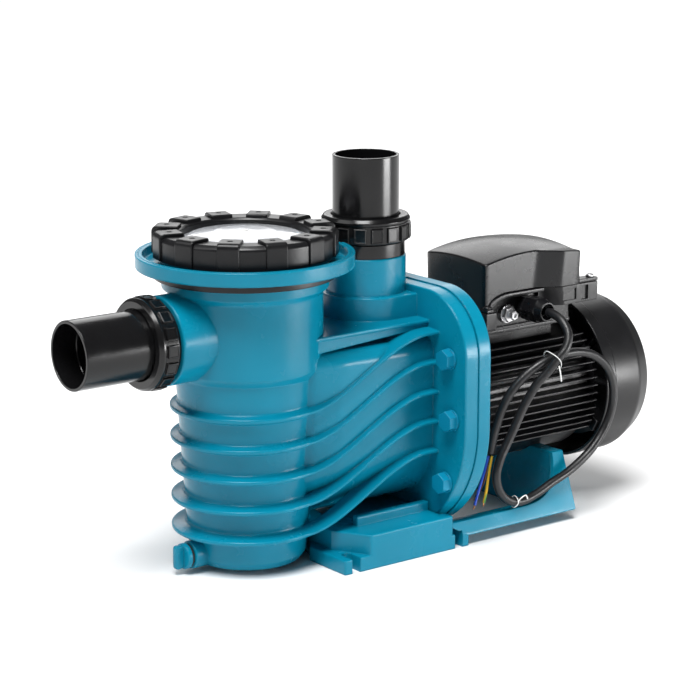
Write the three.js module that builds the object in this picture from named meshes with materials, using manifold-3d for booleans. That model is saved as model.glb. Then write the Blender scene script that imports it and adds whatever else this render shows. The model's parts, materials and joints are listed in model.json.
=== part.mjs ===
// Self-priming pool pump: strainer pot and volute in one blue moulding, a clear lid under a lock ring,
// two pipe unions, and a fan-cooled motor with a terminal box, on one moulded base.
// Millimetres. X runs from the suction port to the fan, Z is up and the feet stand on Z = 0.
// The pieces are made with the pot's axis at X = 0. The finished group is then moved so that X = 0
// is the middle between the front and rear foot slots.
import * as THREE from 'three';
import { mergeVertices } from 'three/addons/utils/BufferGeometryUtils.js';
import Module from 'manifold-3d';

const wasm = await Module();
wasm.setup();

// ---------------------------------------------------------------- driving dimensions
const GAP = 0.3;              // left between pieces that touch
const ROUND = 24;             // sides of the large turned shapes
const MID = 16;               // sides of the middle-sized ones
const SMALL = 8;              // sides of the small ones

const SHAFT_Z = 120;          // height of the motor's axis
const SUCTION_Z = 222.6;      // height of the suction port's axis
const DISCHARGE_X = 138;      // discharge port's axis

const POT_TOP = 299.5;        // sealing face under the lid
const POT_MOUTH_R = 62;
const POT_SPLIT_X = 62;       // the pot's solid ends here and the volute's begins
const COLLAR_SPLIT_Z = 270;   // the pot's solid ends here and its collar's begins
const DRAIN_Z = 17;           // height of the drain's axis
const COLLAR_R = 100;
const COLLAR_TOP = 293;
const CHANNEL_Z = 284;        // floor of the channel that the lock ring stands in
const CYLINDER_R = 71;        // upper part of the pot
const RIB_R = 70.7;           // ring ribs round the lower part of the pot
const RIB_HEIGHTS = [36.4, 65.1, 93.8, 122.4, 151];
const RIB_RISE = 57;          // how far each rib climbs along the volute's side

const FLANGE_X = 165;         // front face of the volute's flange
const SEAM_X = 180;           // joint between the volute and the seal plate
const PLATE_END_X = 195;      // motor side of the seal plate
const DECK_Z = 218;           // top of the volute
const BOSS_TOP = 240;         // step round the discharge neck
const CHAMBER_R = 60;         // bore that holds the diffuser
const CHAMBER_X = 84;         // front end of that bore

const PIPE_OUTER_R = 31.5;    // 63 mm pipe stub
const PIPE_INNER_R = 28.5;
const THREAD_R = 33;          // thread of the adapter, inside the nut
const TAIL_FLANGE_R = 35.5;   // held under the nut's lip
const NUT_R = 42;

const FRAME_R = 62;           // motor frame without its fins
const FIN_R = 75;
const FRAME_END_X = 372;
const COWL_X = 376;
const COWL_END_X = 440;
const COWL_R = 83;

const BASE_HALF = 95;
const SLOT_X = [55, 177];     // centres of the foot slots
const SLOT_WIDTH = 9.5;
const FOOT_HEIGHT = 14;

const BOX_FRONT_X = 248;      // terminal box
const BOX_END_X = 360;
const BOX_HALF = 45;
const GLAND = { x: 303, z: 208 };

const CORD_DIAMETER = 8.5;

// ---------------------------------------------------------------- materials
const finish = (color, roughness, metalness = 0, extra = {}) =>
  new THREE.MeshStandardMaterial({ color, roughness, metalness, ...extra });
const BLUE = finish(0x1897b8, 0.35);
const BLACK = finish(0x24242a, 0.4);
const BLACK_SATIN = finish(0x2e2d33, 0.5);
const MOTOR_BLACK = finish(0x2a2a2d, 0.45, 0.3);
const CLEAR = finish(0xaab2ba, 0.08, 0, { transparent: true, opacity: 0.5 });
const RUBBER = finish(0x151517, 0.8);
const BASKET_GREY = finish(0xd8dcdf, 0.5);
const INNER_PLASTIC = finish(0x1b1c20, 0.55);
const STEEL = finish(0xb9bcc0, 0.3, 0.9);
const IRON = finish(0x77797d, 0.5, 0.8);
const COPPER = finish(0xb06a38, 0.4, 0.9);
const CORD_BLACK = finish(0x1d1d20, 0.55);
const WHITE = finish(0xf2f2f0, 0.5);
const CORE_BLUE = finish(0x1b4fb5, 0.45);
const CORE_YELLOW = finish(0xe0b02a, 0.45);
const CORE_BROWN = finish(0x5b3520, 0.45);

// ---------------------------------------------------------------- solids
function weld(geometry) {
  const bare = geometry.clone();
  bare.deleteAttribute('normal');
  bare.deleteAttribute('uv');
  const merged = mergeVertices(bare, 1e-3);
  const corners = Array.from(merged.index.array);
  const kept = [];
  for (let i = 0; i < corners.length; i += 3) {
    const [a, b, c] = corners.slice(i, i + 3);
    if (a !== b && b !== c && c !== a) kept.push(a, b, c);
  }
  merged.setIndex(kept);
  return merged;
}

function toSolid(shape) {
  if (!shape.isBufferGeometry) return shape;
  const merged = weld(shape);
  return new wasm.Manifold(new wasm.Mesh({
    numProp: 3,
    vertProperties: new Float32Array(merged.attributes.position.array),
    triVerts: new Uint32Array(merged.index.array),
  }));
}

function toGeometry(shape) {
  if (shape.isBufferGeometry) return weld(shape);
  const mesh = shape.getMesh();
  const geometry = new THREE.BufferGeometry();
  geometry.setAttribute('position', new THREE.BufferAttribute(mesh.vertProperties, 3));
  geometry.setIndex(new THREE.BufferAttribute(mesh.triVerts, 1));
  return geometry;
}

const join = (...shapes) => shapes.map(toSolid).reduce((a, b) => a.add(b));
const cut = (body, ...tools) => tools.map(toSolid).reduce((a, b) => a.subtract(b), toSolid(body));
const common = (a, b) => toSolid(a).intersect(toSolid(b));

// A turned shape from [radius, height] points, anticlockwise seen with the axis on the left.
function lathe(profile, sides) {
  return new THREE.LatheGeometry(profile.map(([r, h]) => new THREE.Vector2(r, h)), sides);
}
const closed = (profile) => [...profile, profile[0]];
const turnedZ = (profile, sides, x = 0, y = 0) =>
  lathe(profile, sides).rotateX(Math.PI / 2).translate(x, y, 0);
const turnedX = (profile, sides, y = 0, z = SHAFT_Z) =>
  lathe(profile, sides).rotateZ(-Math.PI / 2).translate(0, y, z);

const rodProfile = (r, from, to) => [[0, from], [r, from], [r, to], [0, to]];
const ringProfile = (inner, outer, from, to) =>
  closed([[inner, from], [outer, from], [outer, to], [inner, to]]);
const rodZ = (r, from, to, x = 0, y = 0, sides = MID) => turnedZ(rodProfile(r, from, to), sides, x, y);
const rodX = (r, from, to, y = 0, z = SHAFT_Z, sides = MID) => turnedX(rodProfile(r, from, to), sides, y, z);
const rodY = (r, from, to, x, z, sides = SMALL) =>
  lathe(rodProfile(r, from, to), sides).translate(x, 0, z);
const ringX = (inner, outer, from, to, sides = MID, y = 0, z = SHAFT_Z) =>
  turnedX(ringProfile(inner, outer, from, to), sides, y, z);

function block([x0, x1], [y0, y1], [z0, z1]) {
  return new THREE.BoxGeometry(x1 - x0, y1 - y0, z1 - z0)
    .translate((x0 + x1) / 2, (y0 + y1) / 2, (z0 + z1) / 2);
}

// A flat outline of [y, z] points, drawn out along X.
function slabX(outline, from, to) {
  const shape = new THREE.Shape(outline.map(([y, z]) => new THREE.Vector2(y, z)));
  const geometry = new THREE.ExtrudeGeometry(shape, { depth: to - from, bevelEnabled: false });
  const turn = new THREE.Matrix4().set(0, 0, 1, from, 1, 0, 0, 0, 0, 1, 0, 0, 0, 0, 0, 1);
  return geometry.applyMatrix4(turn);
}

// A flat outline of [x, z] points, drawn out along Y.
function slabY(outline, from, to) {
  const shape = new THREE.Shape(outline.map(([x, z]) => new THREE.Vector2(x, z)));
  const geometry = new THREE.ExtrudeGeometry(shape, { depth: to - from, bevelEnabled: false });
  return geometry.rotateX(Math.PI / 2).translate(0, to, 0);
}

// A skin through rings of equal point count, closed by a fan at each end.
function loft(rings) {
  const count = rings[0].length;
  const points = rings.flat();
  const middle = (ring) => [0, 1, 2].map((k) => ring.reduce((sum, p) => sum + p[k], 0) / count);
  points.push(middle(rings[0]), middle(rings.at(-1)));
  const [startFan, endFan] = [points.length - 2, points.length - 1];
  const last = (rings.length - 1) * count;
  const index = [];
  for (let j = 0; j < count; j += 1) {
    const next = (j + 1) % count;
    for (let i = 0; i < rings.length - 1; i += 1) {
      const [a, b] = [i * count, (i + 1) * count];
      index.push(a + j, a + next, b + next, a + j, b + next, b + j);
    }
    index.push(startFan, next, j, endFan, last + j, last + next);
  }
  const geometry = new THREE.BufferGeometry();
  geometry.setAttribute('position', new THREE.Float32BufferAttribute(points.flat(), 3));
  geometry.setIndex(index);
  return geometry;
}

function arc(cx, cy, r, fromDegrees, toDegrees, steps) {
  return Array.from({ length: steps + 1 }, (_, i) => {
    const t = THREE.MathUtils.degToRad(fromDegrees + ((toDegrees - fromDegrees) * i) / steps);
    return [cx + r * Math.cos(t), cy + r * Math.sin(t)];
  });
}

const pump = new THREE.Group();
function piece(name, shape, material) {
  const mesh = new THREE.Mesh(toGeometry(shape), material);
  mesh.name = name;
  pump.add(mesh);
}

// ---------------------------------------------------------------- pump housing
// Outline of both clamped flanges: a half circle below, upright sides and round upper corners.
function flangeOutline(grow) {
  const [r, corner, top] = [116 + grow, 60, 246 + grow];
  return [
    ...arc(0, SHAFT_Z, r, 180, 360, 18),
    ...arc(r - corner, top - corner, corner, 0, 90, 5),
    ...arc(corner - r, top - corner, corner, 90, 180, 5),
  ];
}

const BOLT_PLACES = [[93, 186], [98, 128], [89, 66]].flatMap(([y, z]) => [[y, z], [-y, z]]);
const BOLT_R = 4;

function potOutside() {
  const wall = (z) => 54.5 + 0.06 * z;
  const ribs = RIB_HEIGHTS.flatMap((z) =>
    [[wall(z), z - 3.5], [RIB_R, z - 2], [RIB_R, z + 2], [wall(z), z + 3.5]]);
  return turnedZ([
    [0, 5], [50, 5], [54.5, 12], ...ribs, [65.6, 182], [CYLINDER_R, 190],
    [CYLINDER_R, 257], [76.5, 262], [76.5, 280], [COLLAR_R, 280], [COLLAR_R, COLLAR_TOP], [93, COLLAR_TOP],
    [93, CHANNEL_Z], [74, CHANNEL_Z], [74, POT_TOP], [70.5, POT_TOP], [70.5, 296.5], [65.5, 296.5],
    [65.5, POT_TOP],
    [0, POT_TOP],
  ], ROUND);
}

function potInside() {
  return turnedZ([
    [0, 12], [46, 12], [52, 48], [57, 190], [POT_MOUTH_R, 190], [POT_MOUTH_R, 310], [0, 310],
  ], ROUND);
}

// The volute's body widens from the pot to the flange, with a round belly and round shoulders.
function voluteSection(x, half, bottom) {
  const section = [
    ...arc(0, bottom + half, half, 180, 360, 10),
    ...arc(half - 14, DECK_Z - 30, 14, 0, 90, 3),
    ...arc(14 - half, DECK_Z - 30, 14, 90, 180, 3),
  ];
  return section.map(([y, z]) => [x, y, z]);
}

function voluteBody() {
  return join(
    loft([voluteSection(0, 57, 44), voluteSection(14, 61, 42), voluteSection(60, 65.5, 38),
      voluteSection(FLANGE_X + 1, 69, 37)]),
    block([30, FLANGE_X + 1], [-60, 60], [200, DECK_Z]),
  );
}

// One rib along the side: level at the pot, then climbing to the flange in an S.
function sideRib(z, side) {
  const [start, end, steps] = [8, FLANGE_X + 1, 7];
  const rings = Array.from({ length: steps + 1 }, (_, i) => {
    const x = start + ((end - start) * i) / steps;
    const climb = THREE.MathUtils.smoothstep(x, 18, 156);
    const middle = z + RIB_RISE * climb;
    const tip = 67 + (11 * i) / steps;
    return [[55, -2.5], [tip, -1.5], [tip, 1.5], [55, 2.5]].map(([y, dz]) => [x, side * y, middle + dz]);
  });
  return loft(side > 0 ? rings : rings.map((ring) => ring.toReversed()));
}

function housingMoulding() {
  const ribs = RIB_HEIGHTS.flatMap((z) => [sideRib(z, 1), sideRib(z, -1)]);
  const outside = join(
    potOutside(),
    voluteBody(),
    ...ribs,
    slabX(flangeOutline(0), FLANGE_X, SEAM_X),
    rodZ(44, 200, BOSS_TOP, DISCHARGE_X, 0, ROUND),
    block([DISCHARGE_X, FLANGE_X + 1], [-44, 44], [200, BOSS_TOP]),
    rodZ(38, 200, 275, DISCHARGE_X, 0, ROUND),
    rodX(41, -94, -20, 0, SUCTION_Z, ROUND),
  );
  const boltHoles = BOLT_PLACES.map(([y, z]) => rodX(BOLT_R + 0.5, FLANGE_X - 5, SEAM_X + 5, y, z, SMALL));
  return cut(
    outside,
    block([SEAM_X, SEAM_X + 40], [-60, 60], [150, 245]),
    rodZ(NUT_R + 4.5, CHANNEL_Z - 5, COLLAR_TOP + 1, DISCHARGE_X, 0, ROUND),
    potInside(),
    rodX(24, 40, 90),
    rodX(31, 78, 90),
    rodX(CHAMBER_R, CHAMBER_X, SEAM_X + 1, 0, SHAFT_Z, ROUND),
    rodX(75, FLANGE_X + 3, SEAM_X + 1, 0, SHAFT_Z, ROUND),
    rodZ(27, 150, 260, DISCHARGE_X),
    rodZ(31.8, 252, 280, DISCHARGE_X, 0, 20),
    rodX(27, -90, -40, 0, SUCTION_Z),
    rodX(33.8, -100, -78, 0, SUCTION_Z, 20),
    rodX(7.5, -70, -40, 0, DRAIN_Z, SMALL),
    ...boltHoles,
  );
}

// The pot, its collar, the volute and the discharge neck are one moulding in the real pump. Hairline
// gaps divide it here into simpler solids, so that each of its hollows stays open in collision.
function behindPot(gap) {
  return join(
    block([POT_SPLIT_X + gap, SEAM_X + 20], [-130, 130], [-10, 262 - gap]),
    block([99.5 + gap, SEAM_X + 20], [-60, 60], [250, 277]),
  );
}

function neckRegion(gap) {
  return join(
    block([88 + gap, FLANGE_X - gap], [-50, 50], [DECK_Z + gap, 280]),
    block([88 + gap, SEAM_X + 20], [-50, 50], [246 + gap, 280]),
  );
}

// In front of the diffuser's chamber. The lowest side rib passes this region without touching it.
function frontRegion(gap) {
  return join(
    block([0, CHAMBER_X + gap], [-130, 130], [66.5 - gap, 280]),
    block([0, CHAMBER_X + gap], [-54 - gap, 54 + gap], [-10, 70]),
  );
}

function splitHousing() {
  const moulding = housingMoulding();
  const pot = cut(moulding, behindPot(0));
  const rear = common(moulding, behindPot(GAP));
  const lower = cut(rear, neckRegion(0));
  return {
    pot: common(pot, block([-150, 150], [-150, 150], [0, COLLAR_SPLIT_Z])),
    collar: common(pot, block([-150, 150], [-150, 150], [COLLAR_SPLIT_Z + GAP, 320])),
    neck: common(rear, neckRegion(GAP)),
    front: common(lower, frontRegion(0)),
    volute: cut(lower, frontRegion(GAP)),
  };
}

// The drain's boss, fitted to the pot's wall.
function drainBoss() {
  const potWall = turnedZ([[0, 0], [50.4, 0], [50.4, 4.7], [54.9, 11.9], [56.8, 31], [0, 31]], ROUND);
  return cut(rodX(13, -66, -40, 0, DRAIN_Z), potWall, rodX(8.4, -70, -30, 0, DRAIN_Z, SMALL));
}

const housing = splitHousing();
piece('pump_housing', housing.volute, BLUE);
piece('volute_front', housing.front, BLUE);
piece('discharge_neck', housing.neck, BLUE);
piece('strainer_pot', housing.pot, BLUE);
piece('pot_collar', housing.collar, BLUE);
piece('drain_boss', drainBoss(), BLUE);

// ---------------------------------------------------------------- lid, lock ring and strainer basket
function lockRing() {
  const ring = turnedZ(closed([
    [78.5, 290.5], [83.2, 290.5], [83.2, 310], [79.5, 312.8], [61, 312.8], [59, 311], [59, 305.3],
    [78.5, 305.3],
  ]), ROUND);
  const lug = [[62.5, 311], [79.5, 311], [79.5, 291.5], [84.6, 291.5], [84.6, 312], [80.6, 316], [62.5, 316]];
  const lugs = Array.from({ length: 12 }, (_, i) =>
    slabY(lug, -10, 10).rotateZ(((i + 0.5) * Math.PI) / 6));
  return join(ring, ...lugs);
}

function lid() {
  return turnedZ([
    [0, 305], [46, 303], [50, 299.8], [76, 299.8], [76, 305], [57.5, 305], [51, 308.8], [28, 311.6], [0, 312.5],
  ], ROUND);
}

function strainerBasket() {
  const cup = turnedZ([
    [0, 28], [46, 28], [52, 186], [54, 190.4], [60.8, 190.4], [60.8, 194], [50.5, 194], [49, 186],
    [43.5, 31], [0, 31],
  ], ROUND);
  const slots = Array.from({ length: 6 }, (_, i) =>
    block([-60, 60], [-4.5, 4.5], [45, 172]).rotateZ(((i + 0.5) * Math.PI) / 6));
  const floorHoles = arc(0, 0, 28, 0, 300, 5).map(([x, y]) => rodZ(5, 20, 40, x, y, SMALL));
  const handle = slabX([[-54, 192], [-50, 192], [-46, 236], [46, 236], [50, 192], [54, 192], [50, 240],
    [-50, 240]], -4, 4);
  return join(cut(cup, ...slots, ...floorHoles), handle);
}

piece('lock_ring', lockRing(), BLACK_SATIN);
piece('lid', lid(), CLEAR);
const LID_SEAL = closed(arc(68, 298.2, 1.4, 0, 270, 3));
piece('lid_o_ring', turnedZ(LID_SEAL, ROUND), RUBBER);
piece('strainer_basket', strainerBasket(), BASKET_GREY);

// ---------------------------------------------------------------- pipe unions
// Made along +Z with the housing's mouth at height 0, then turned to its port.
function unionPieces(name, collar, nutLength, pipeEnd, socketR, place) {
  const [threadEnd, nutEnd] = [collar + nutLength * 0.42, collar + nutLength];
  const lip = nutEnd - 4.5;
  const adapter = turnedZ(closed([
    [25, -14], [socketR, -14], [socketR, GAP], [37, GAP], [37, collar], [THREAD_R, collar],
    [THREAD_R, threadEnd], [31.8, threadEnd], [31.8, threadEnd - 3], [28.2, threadEnd - 3], [28.2, threadEnd],
    [25, threadEnd],
  ]), 20);
  const seal = turnedZ(closed(arc(30, threadEnd - 1.4, 1.3, 0, 270, 3)), 20);
  const tail = turnedZ(closed([
    [PIPE_INNER_R, threadEnd + GAP], [TAIL_FLANGE_R, threadEnd + GAP], [TAIL_FLANGE_R, lip - GAP],
    [PIPE_OUTER_R, lip - GAP], [PIPE_OUTER_R, pipeEnd], [PIPE_INNER_R, pipeEnd],
  ]), 20);
  const nutRing = turnedZ(closed([
    [37.8, collar + 1.2], [NUT_R - 1, collar + 1.2], [NUT_R - 1, nutEnd - 3], [39, nutEnd], [32.6, nutEnd],
    [32.6, lip], [37.8, lip],
  ]), 20);
  const pad = block([38.5, NUT_R + 1], [-4.5, 4.5], [collar + 2, nutEnd - 4]);
  const pads = Array.from({ length: 8 }, (_, i) => pad.clone().rotateZ((i * Math.PI) / 4));
  piece(`${name}_adapter`, place(adapter), BLACK);
  piece(`${name}_o_ring`, place(seal), RUBBER);
  piece(`${name}_tailpiece`, place(tail), BLACK);
  piece(`${name}_union_nut`, join(place(nutRing), ...pads.map(place)), BLACK);
}
unionPieces('suction', 3, 22, 93, 33, (g) => g.rotateY(-Math.PI / 2).translate(-94, 0, SUCTION_Z));
unionPieces('discharge', 13, 25, 94, 31, (g) => g.translate(DISCHARGE_X, 0, 275));

// ---------------------------------------------------------------- drain plug
function drainPlug() {
  return join(
    rodX(6.6, -71, -64.2, 0, DRAIN_Z, SMALL),
    rodX(12, -73.5, -69.2, 0, DRAIN_Z),
    block([-82, -73], [-3, 3], [DRAIN_Z - 12, DRAIN_Z + 12]),
  );
}
piece('drain_plug', drainPlug(), BLUE);
piece('drain_o_ring', ringX(7.6, 11, -68.8, -66.4, MID, 0, DRAIN_Z), RUBBER);

// ---------------------------------------------------------------- diffuser, impeller and shaft seal
function diffuser() {
  const bowl = turnedX(closed([
    [24, 79], [30.2, 79], [30.2, 100], [57, 112], [57, 152], [54, 152], [54, 115.5], [31, 105], [25.8, 105],
    [25.8, 98], [24, 97],
  ]), ROUND);
  const windows = [0, 60, 120].map((a) =>
    block([124, 144], [-70, 70], [-9, 9]).rotateX(THREE.MathUtils.degToRad(a)).translate(0, 0, SHAFT_Z));
  return cut(bowl, ...windows);
}

function impeller() {
  const shroud = turnedX(closed([
    [20, 102], [23.5, 102], [24.5, 111], [50, 121.5], [50, 124.5], [22, 114.5], [20, 110],
  ]), MID);
  const backPlate = turnedX([[0, 114], [8, 116], [14, 124], [16, 139], [50, 140], [50, 144], [14, 144],
    [14, 150], [0, 150]], MID);
  const envelope = turnedX([[0, 104], [21, 112.5], [49.5, 123], [49.5, 142], [0, 142]], MID);
  const vane = block([108, 141], [-1.5, 1.5], [13, 50]).rotateX(0.5);
  const vanes = Array.from({ length: 6 }, (_, i) =>
    vane.clone().translate(0, 8, 0).rotateX((i * Math.PI) / 3).translate(0, 0, SHAFT_Z));
  return cut(join(shroud, backPlate, common(join(...vanes), envelope)), rodX(9.4, 119, 160));
}

piece('diffuser', diffuser(), INNER_PLASTIC);
piece('impeller', impeller(), INNER_PLASTIC);

function sealPlate() {
  const boltHoles = BOLT_PLACES.map(([y, z]) => rodX(BOLT_R + 0.5, 170, 191, y, z, SMALL));
  return cut(
    join(slabX(flangeOutline(2), SEAM_X + GAP, PLATE_END_X), rodX(26, 166, 185)),
    rodX(19.8, 160, 176),
    rodX(12.8, 160, 200),
    rodX(28, 187, 200),
    ...boltHoles,
  );
}
piece('seal_plate', sealPlate(), BLUE);

function flangeBolt([y, z]) {
  const head = rodX(10, FLANGE_X - 10, FLANGE_X - GAP, y, z, 6);
  return join(head, rodX(BOLT_R, FLANGE_X - 2, 190, y, z, SMALL));
}
BOLT_PLACES.forEach((place, i) => piece(`flange_bolt_${i + 1}`, flangeBolt(place), BLUE));

// ---------------------------------------------------------------- motor
function shaft() {
  return turnedX([
    [0, 119.5], [9, 119.5], [9, 194], [12.1, 196], [12.1, 216], [15, 217], [15, 345], [9.8, 346],
    [9.8, 404], [0, 404],
  ], MID);
}

function frontEndBell() {
  const bell = turnedX(closed([
    [14, PLATE_END_X + GAP], [FRAME_R, PLATE_END_X + GAP], [FRAME_R, 207], [32, 207], [30, 216], [26.4, 216],
    [26.4, 199], [14, 199],
  ]), ROUND);
  return bell;
}

function motorFrame() {
  const shell = turnedX(ringProfile(55.5, FRAME_R, 207.3, FRAME_END_X), ROUND);
  const belly = common(
    turnedX(ringProfile(60, 68, 210, 366), ROUND),
    block([205, 370], [-54, 54], [SHAFT_Z - 70, SHAFT_Z - 36]),
  );
  const fin = block([207.3, 371], [60, FIN_R], [-1.3, 1.3]);
  const angles = Array.from({ length: 11 }, (_, i) => -32 + 8.6 * i);
  const fins = angles.flatMap((a) => [a, 180 - a]).map((a) =>
    fin.clone().rotateX(THREE.MathUtils.degToRad(a)).translate(0, 0, SHAFT_Z));
  return join(shell, belly, ...fins);
}

const COWL_SCREW_ANGLES = [210, 330, 90];   // degrees round the shaft, from +Y towards +Z
const aroundShaft = (shape, degrees) =>
  shape.rotateX(THREE.MathUtils.degToRad(degrees)).translate(0, 0, SHAFT_Z);

function rearEndBell() {
  const bell = turnedX(closed([
    [10.6, 346], [29, 350], [29, 372.5], [60, 372.5], [60, 380], [10.6, 380],
  ]), ROUND);
  const ears = COWL_SCREW_ANGLES.map((a) => aroundShaft(block([373, 389], [50, 79], [-7, 7]), a));
  const holes = COWL_SCREW_ANGLES.map((a) => aroundShaft(rodY(2.4, 66, 90, 385, 0), a));
  return cut(join(bell, ...ears), rodX(23.9, 351, 366.5), ...holes);
}

function fanCowl() {
  const shell = turnedX([
    [0, 437.5], [72, 437.5], [80, 420], [80.5, COWL_X], [COWL_R, COWL_X], [82.5, 421], [74, COWL_END_X],
    [0, COWL_END_X],
  ], ROUND);
  const slots = Array.from({ length: 10 }, (_, i) =>
    block([430, 445], [24, 62], [-2.6, 2.6]).rotateX((i * Math.PI) / 5).translate(0, 0, SHAFT_Z));
  const holes = COWL_SCREW_ANGLES.map((a) => aroundShaft(rodY(2.4, 70, 90, 385, 0), a));
  return cut(shell, ...slots, ...holes);
}

function coolingFan() {
  const hub = ringX(10.2, 17, 386, 405);
  const plate = ringX(12, 40, 402, 405);
  const blade = block([391, 405], [14, 66], [-1.5, 1.5]);
  const blades = Array.from({ length: 8 }, (_, i) => aroundShaft(blade.clone(), i * 45));
  return cut(join(hub, plate, ...blades), rodX(10.2, 380, 410));
}

piece('shaft', shaft(), STEEL);
piece('front_end_bell', frontEndBell(), MOTOR_BLACK);
piece('front_bearing', ringX(12.5, 26, 199.5, 214.5), STEEL);
piece('rotor_core', ringX(15.4, 33, 238, 322), IRON);
piece('stator_core', ringX(34, 55, 240, 320, ROUND), IRON);
piece('winding_front', ringX(37, 53, 222, 239.7, 20), COPPER);
piece('winding_rear', ringX(37, 53, 320.3, 338, 20), COPPER);
piece('motor_frame', motorFrame(), MOTOR_BLACK);
piece('rear_end_bell', rearEndBell(), MOTOR_BLACK);
piece('rear_bearing', ringX(10.2, 23.5, 352, 366), STEEL);
piece('cooling_fan', coolingFan(), INNER_PLASTIC);
piece('fan_cowl', fanCowl(), MOTOR_BLACK);
COWL_SCREW_ANGLES.forEach((a, i) => {
  const screw = join(rodY(2, 72, 84, 385, 0), rodY(4, 83.3, 85.3, 385, 0));
  piece(`cowl_screw_${i + 1}`, toGeometry(screw).rotateX(THREE.MathUtils.degToRad(a)).translate(0, 0, SHAFT_Z),
    STEEL);
});

// ---------------------------------------------------------------- terminal box
const BOX_BULGE_Y = -58;      // the cable side steps out to this
const BOX_SPLIT_Z = 222;
const BULGE_Z = 207;          // underside of that step

// Plan outline of the box, anticlockwise from the corner next to the pump on the cable side.
function boxPlan(inset, stepX = 312) {
  const [left, right] = [BOX_FRONT_X + inset, BOX_END_X - inset];
  return [[left, -BOX_HALF + inset], [stepX, -BOX_HALF + inset], [336, BOX_BULGE_Y + inset],
    [right, BOX_BULGE_Y + inset], [right, BOX_HALF - inset], [left, BOX_HALF - inset]];
}

function upright(plan, from, to) {
  const shape = new THREE.Shape(plan.map(([x, y]) => new THREE.Vector2(x, y)));
  return new THREE.ExtrudeGeometry(shape, { depth: to - from, bevelEnabled: false }).translate(0, 0, from);
}

// The space under the domed top: sections across the box, arched in both directions.
function underDome(lower) {
  const sections = Array.from({ length: 7 }, (_, i) => {
    const x = 240 + 22 * i;
    const t = (x - 308) / 62;
    const [edge, crown] = [263 - (t < 0 ? 8 : 5) * t * t - lower, 7 - 2.5 * t * t];
    const top = Array.from({ length: 7 }, (_, j) => {
      const y = 60 - 20 * j;
      return [x, y, edge + crown * Math.max(0, 1 - (y / BOX_HALF) ** 2)];
    });
    return [[x, -60, 200], [x, 60, 200], ...top];
  });
  return loft(sections);
}

function terminalBoxCover() {
  const shell = cut(
    common(upright(boxPlan(0), BOX_SPLIT_Z + GAP, 290), underDome(0)),
    common(upright(boxPlan(3), 210, 280), underDome(3)),
  );
  return join(
    shell,
    block([BOX_FRONT_X, BOX_FRONT_X + 3], [-BOX_HALF, BOX_HALF], [211.3, 230]),
    cut(block([BOX_FRONT_X - 6, BOX_FRONT_X + 2], [-56, -42], [211.3, 214.5]), rodZ(2.4, 200, 230, 246, -51, SMALL)),
    cut(block([BOX_END_X - 2, 384], [-57, -45], [BOX_SPLIT_Z + GAP, 226]), rodZ(2.4, 200, 230, 378, -51, SMALL)),
    cut(block([BOX_END_X - 2, 374], [32, 44], [BOX_SPLIT_Z + GAP, 226]), rodZ(2.4, 200, 230, 368, 38, SMALL)),
  );
}

function terminalBoxBase() {
  const [near, far] = [BOX_FRONT_X, BOX_END_X];
  const tub = cut(
    join(
      block([near + 3.4, far - 3.4], [3.4 - BOX_HALF, BOX_HALF - 3.4], [188, BOX_SPLIT_Z]),
      upright(boxPlan(3.4, 320), BULGE_Z, BOX_SPLIT_Z),
    ),
    block([near + 7, far - 7], [7 - BOX_HALF, BOX_HALF - 7], [192, 230]),
    upright(boxPlan(7, 320), BULGE_Z + 4, 230),
  );
  const lugs = [
    block([241, BOX_FRONT_X + 6], [-56, -40], [194, 211]),
    block([BOX_END_X - 5, 384], [-57, -45], [207, BOX_SPLIT_Z]),
    block([BOX_END_X - 5, 374], [32, 44], [207, BOX_SPLIT_Z]),
  ];
  const pedestal = block([262, 346], [-32, 32], [165, 190]);
  return cut(
    join(tub, ...lugs, pedestal),
    rodX(FRAME_R + GAP, 200, 400, 0, SHAFT_Z, ROUND),
    rodZ(20, 180, 230, 330),
    rodY(10.2, -60, -30, GLAND.x, GLAND.z, MID),
    rodY(3.3, -60, -30, 279, 204),
    ...[[246, -51], [378, -51], [368, 38]].map(([x, y]) => rodZ(2.4, 196, 230, x, y, SMALL)),
  );
}

function coverScrew(x, y, top) {
  return join(rodZ(2, top - 13, top + 1, x, y, SMALL), rodZ(4, top + GAP, top + 3, x, y, SMALL));
}

// The gland is made upright and turned so that the cable leaves towards -Y.
const outOfBox = (shape) => shape.rotateX(Math.PI / 2).translate(GLAND.x, 0, GLAND.z);
function glandBody() {
  return outOfBox(toGeometry(join(
    turnedZ(ringProfile(6, 9.8, 34, 44), MID),
    turnedZ(ringProfile(6, 12.5, 42, 48), 6),
    turnedZ(ringProfile(6, 10.5, 47, 58), MID),
  )));
}
function glandNut() {
  const hexagon = turnedZ(rodProfile(13, 48.3, 66), 6);
  const cone = turnedZ([[0, 60], [11.2, 60], [11.2, 66], [8, 74], [0, 74]], MID);
  return outOfBox(toGeometry(cut(join(hexagon, cone), rodZ(11, 48, 58.4), rodZ(4.9, 50, 80))));
}

function earthBolt() {
  return join(rodY(3, -54, -34, 279, 204), rodY(8, -47.6, -42, 279, 204, 6), rodY(9, -43.2, -41.9, 279, 204, MID));
}

piece('terminal_box_base', terminalBoxBase(), BLACK);
piece('terminal_box_cover', terminalBoxCover(), BLACK_SATIN);
piece('cover_screw_1', coverScrew(246, -51, 214.5), STEEL);
piece('cover_screw_2', coverScrew(378, -51, 226), STEEL);
piece('cover_screw_3', coverScrew(368, 38, 226), STEEL);
piece('cable_gland', glandBody(), BLACK);
piece('gland_nut', glandNut(), BLACK);
piece('earth_bolt', earthBolt(), STEEL);

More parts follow.
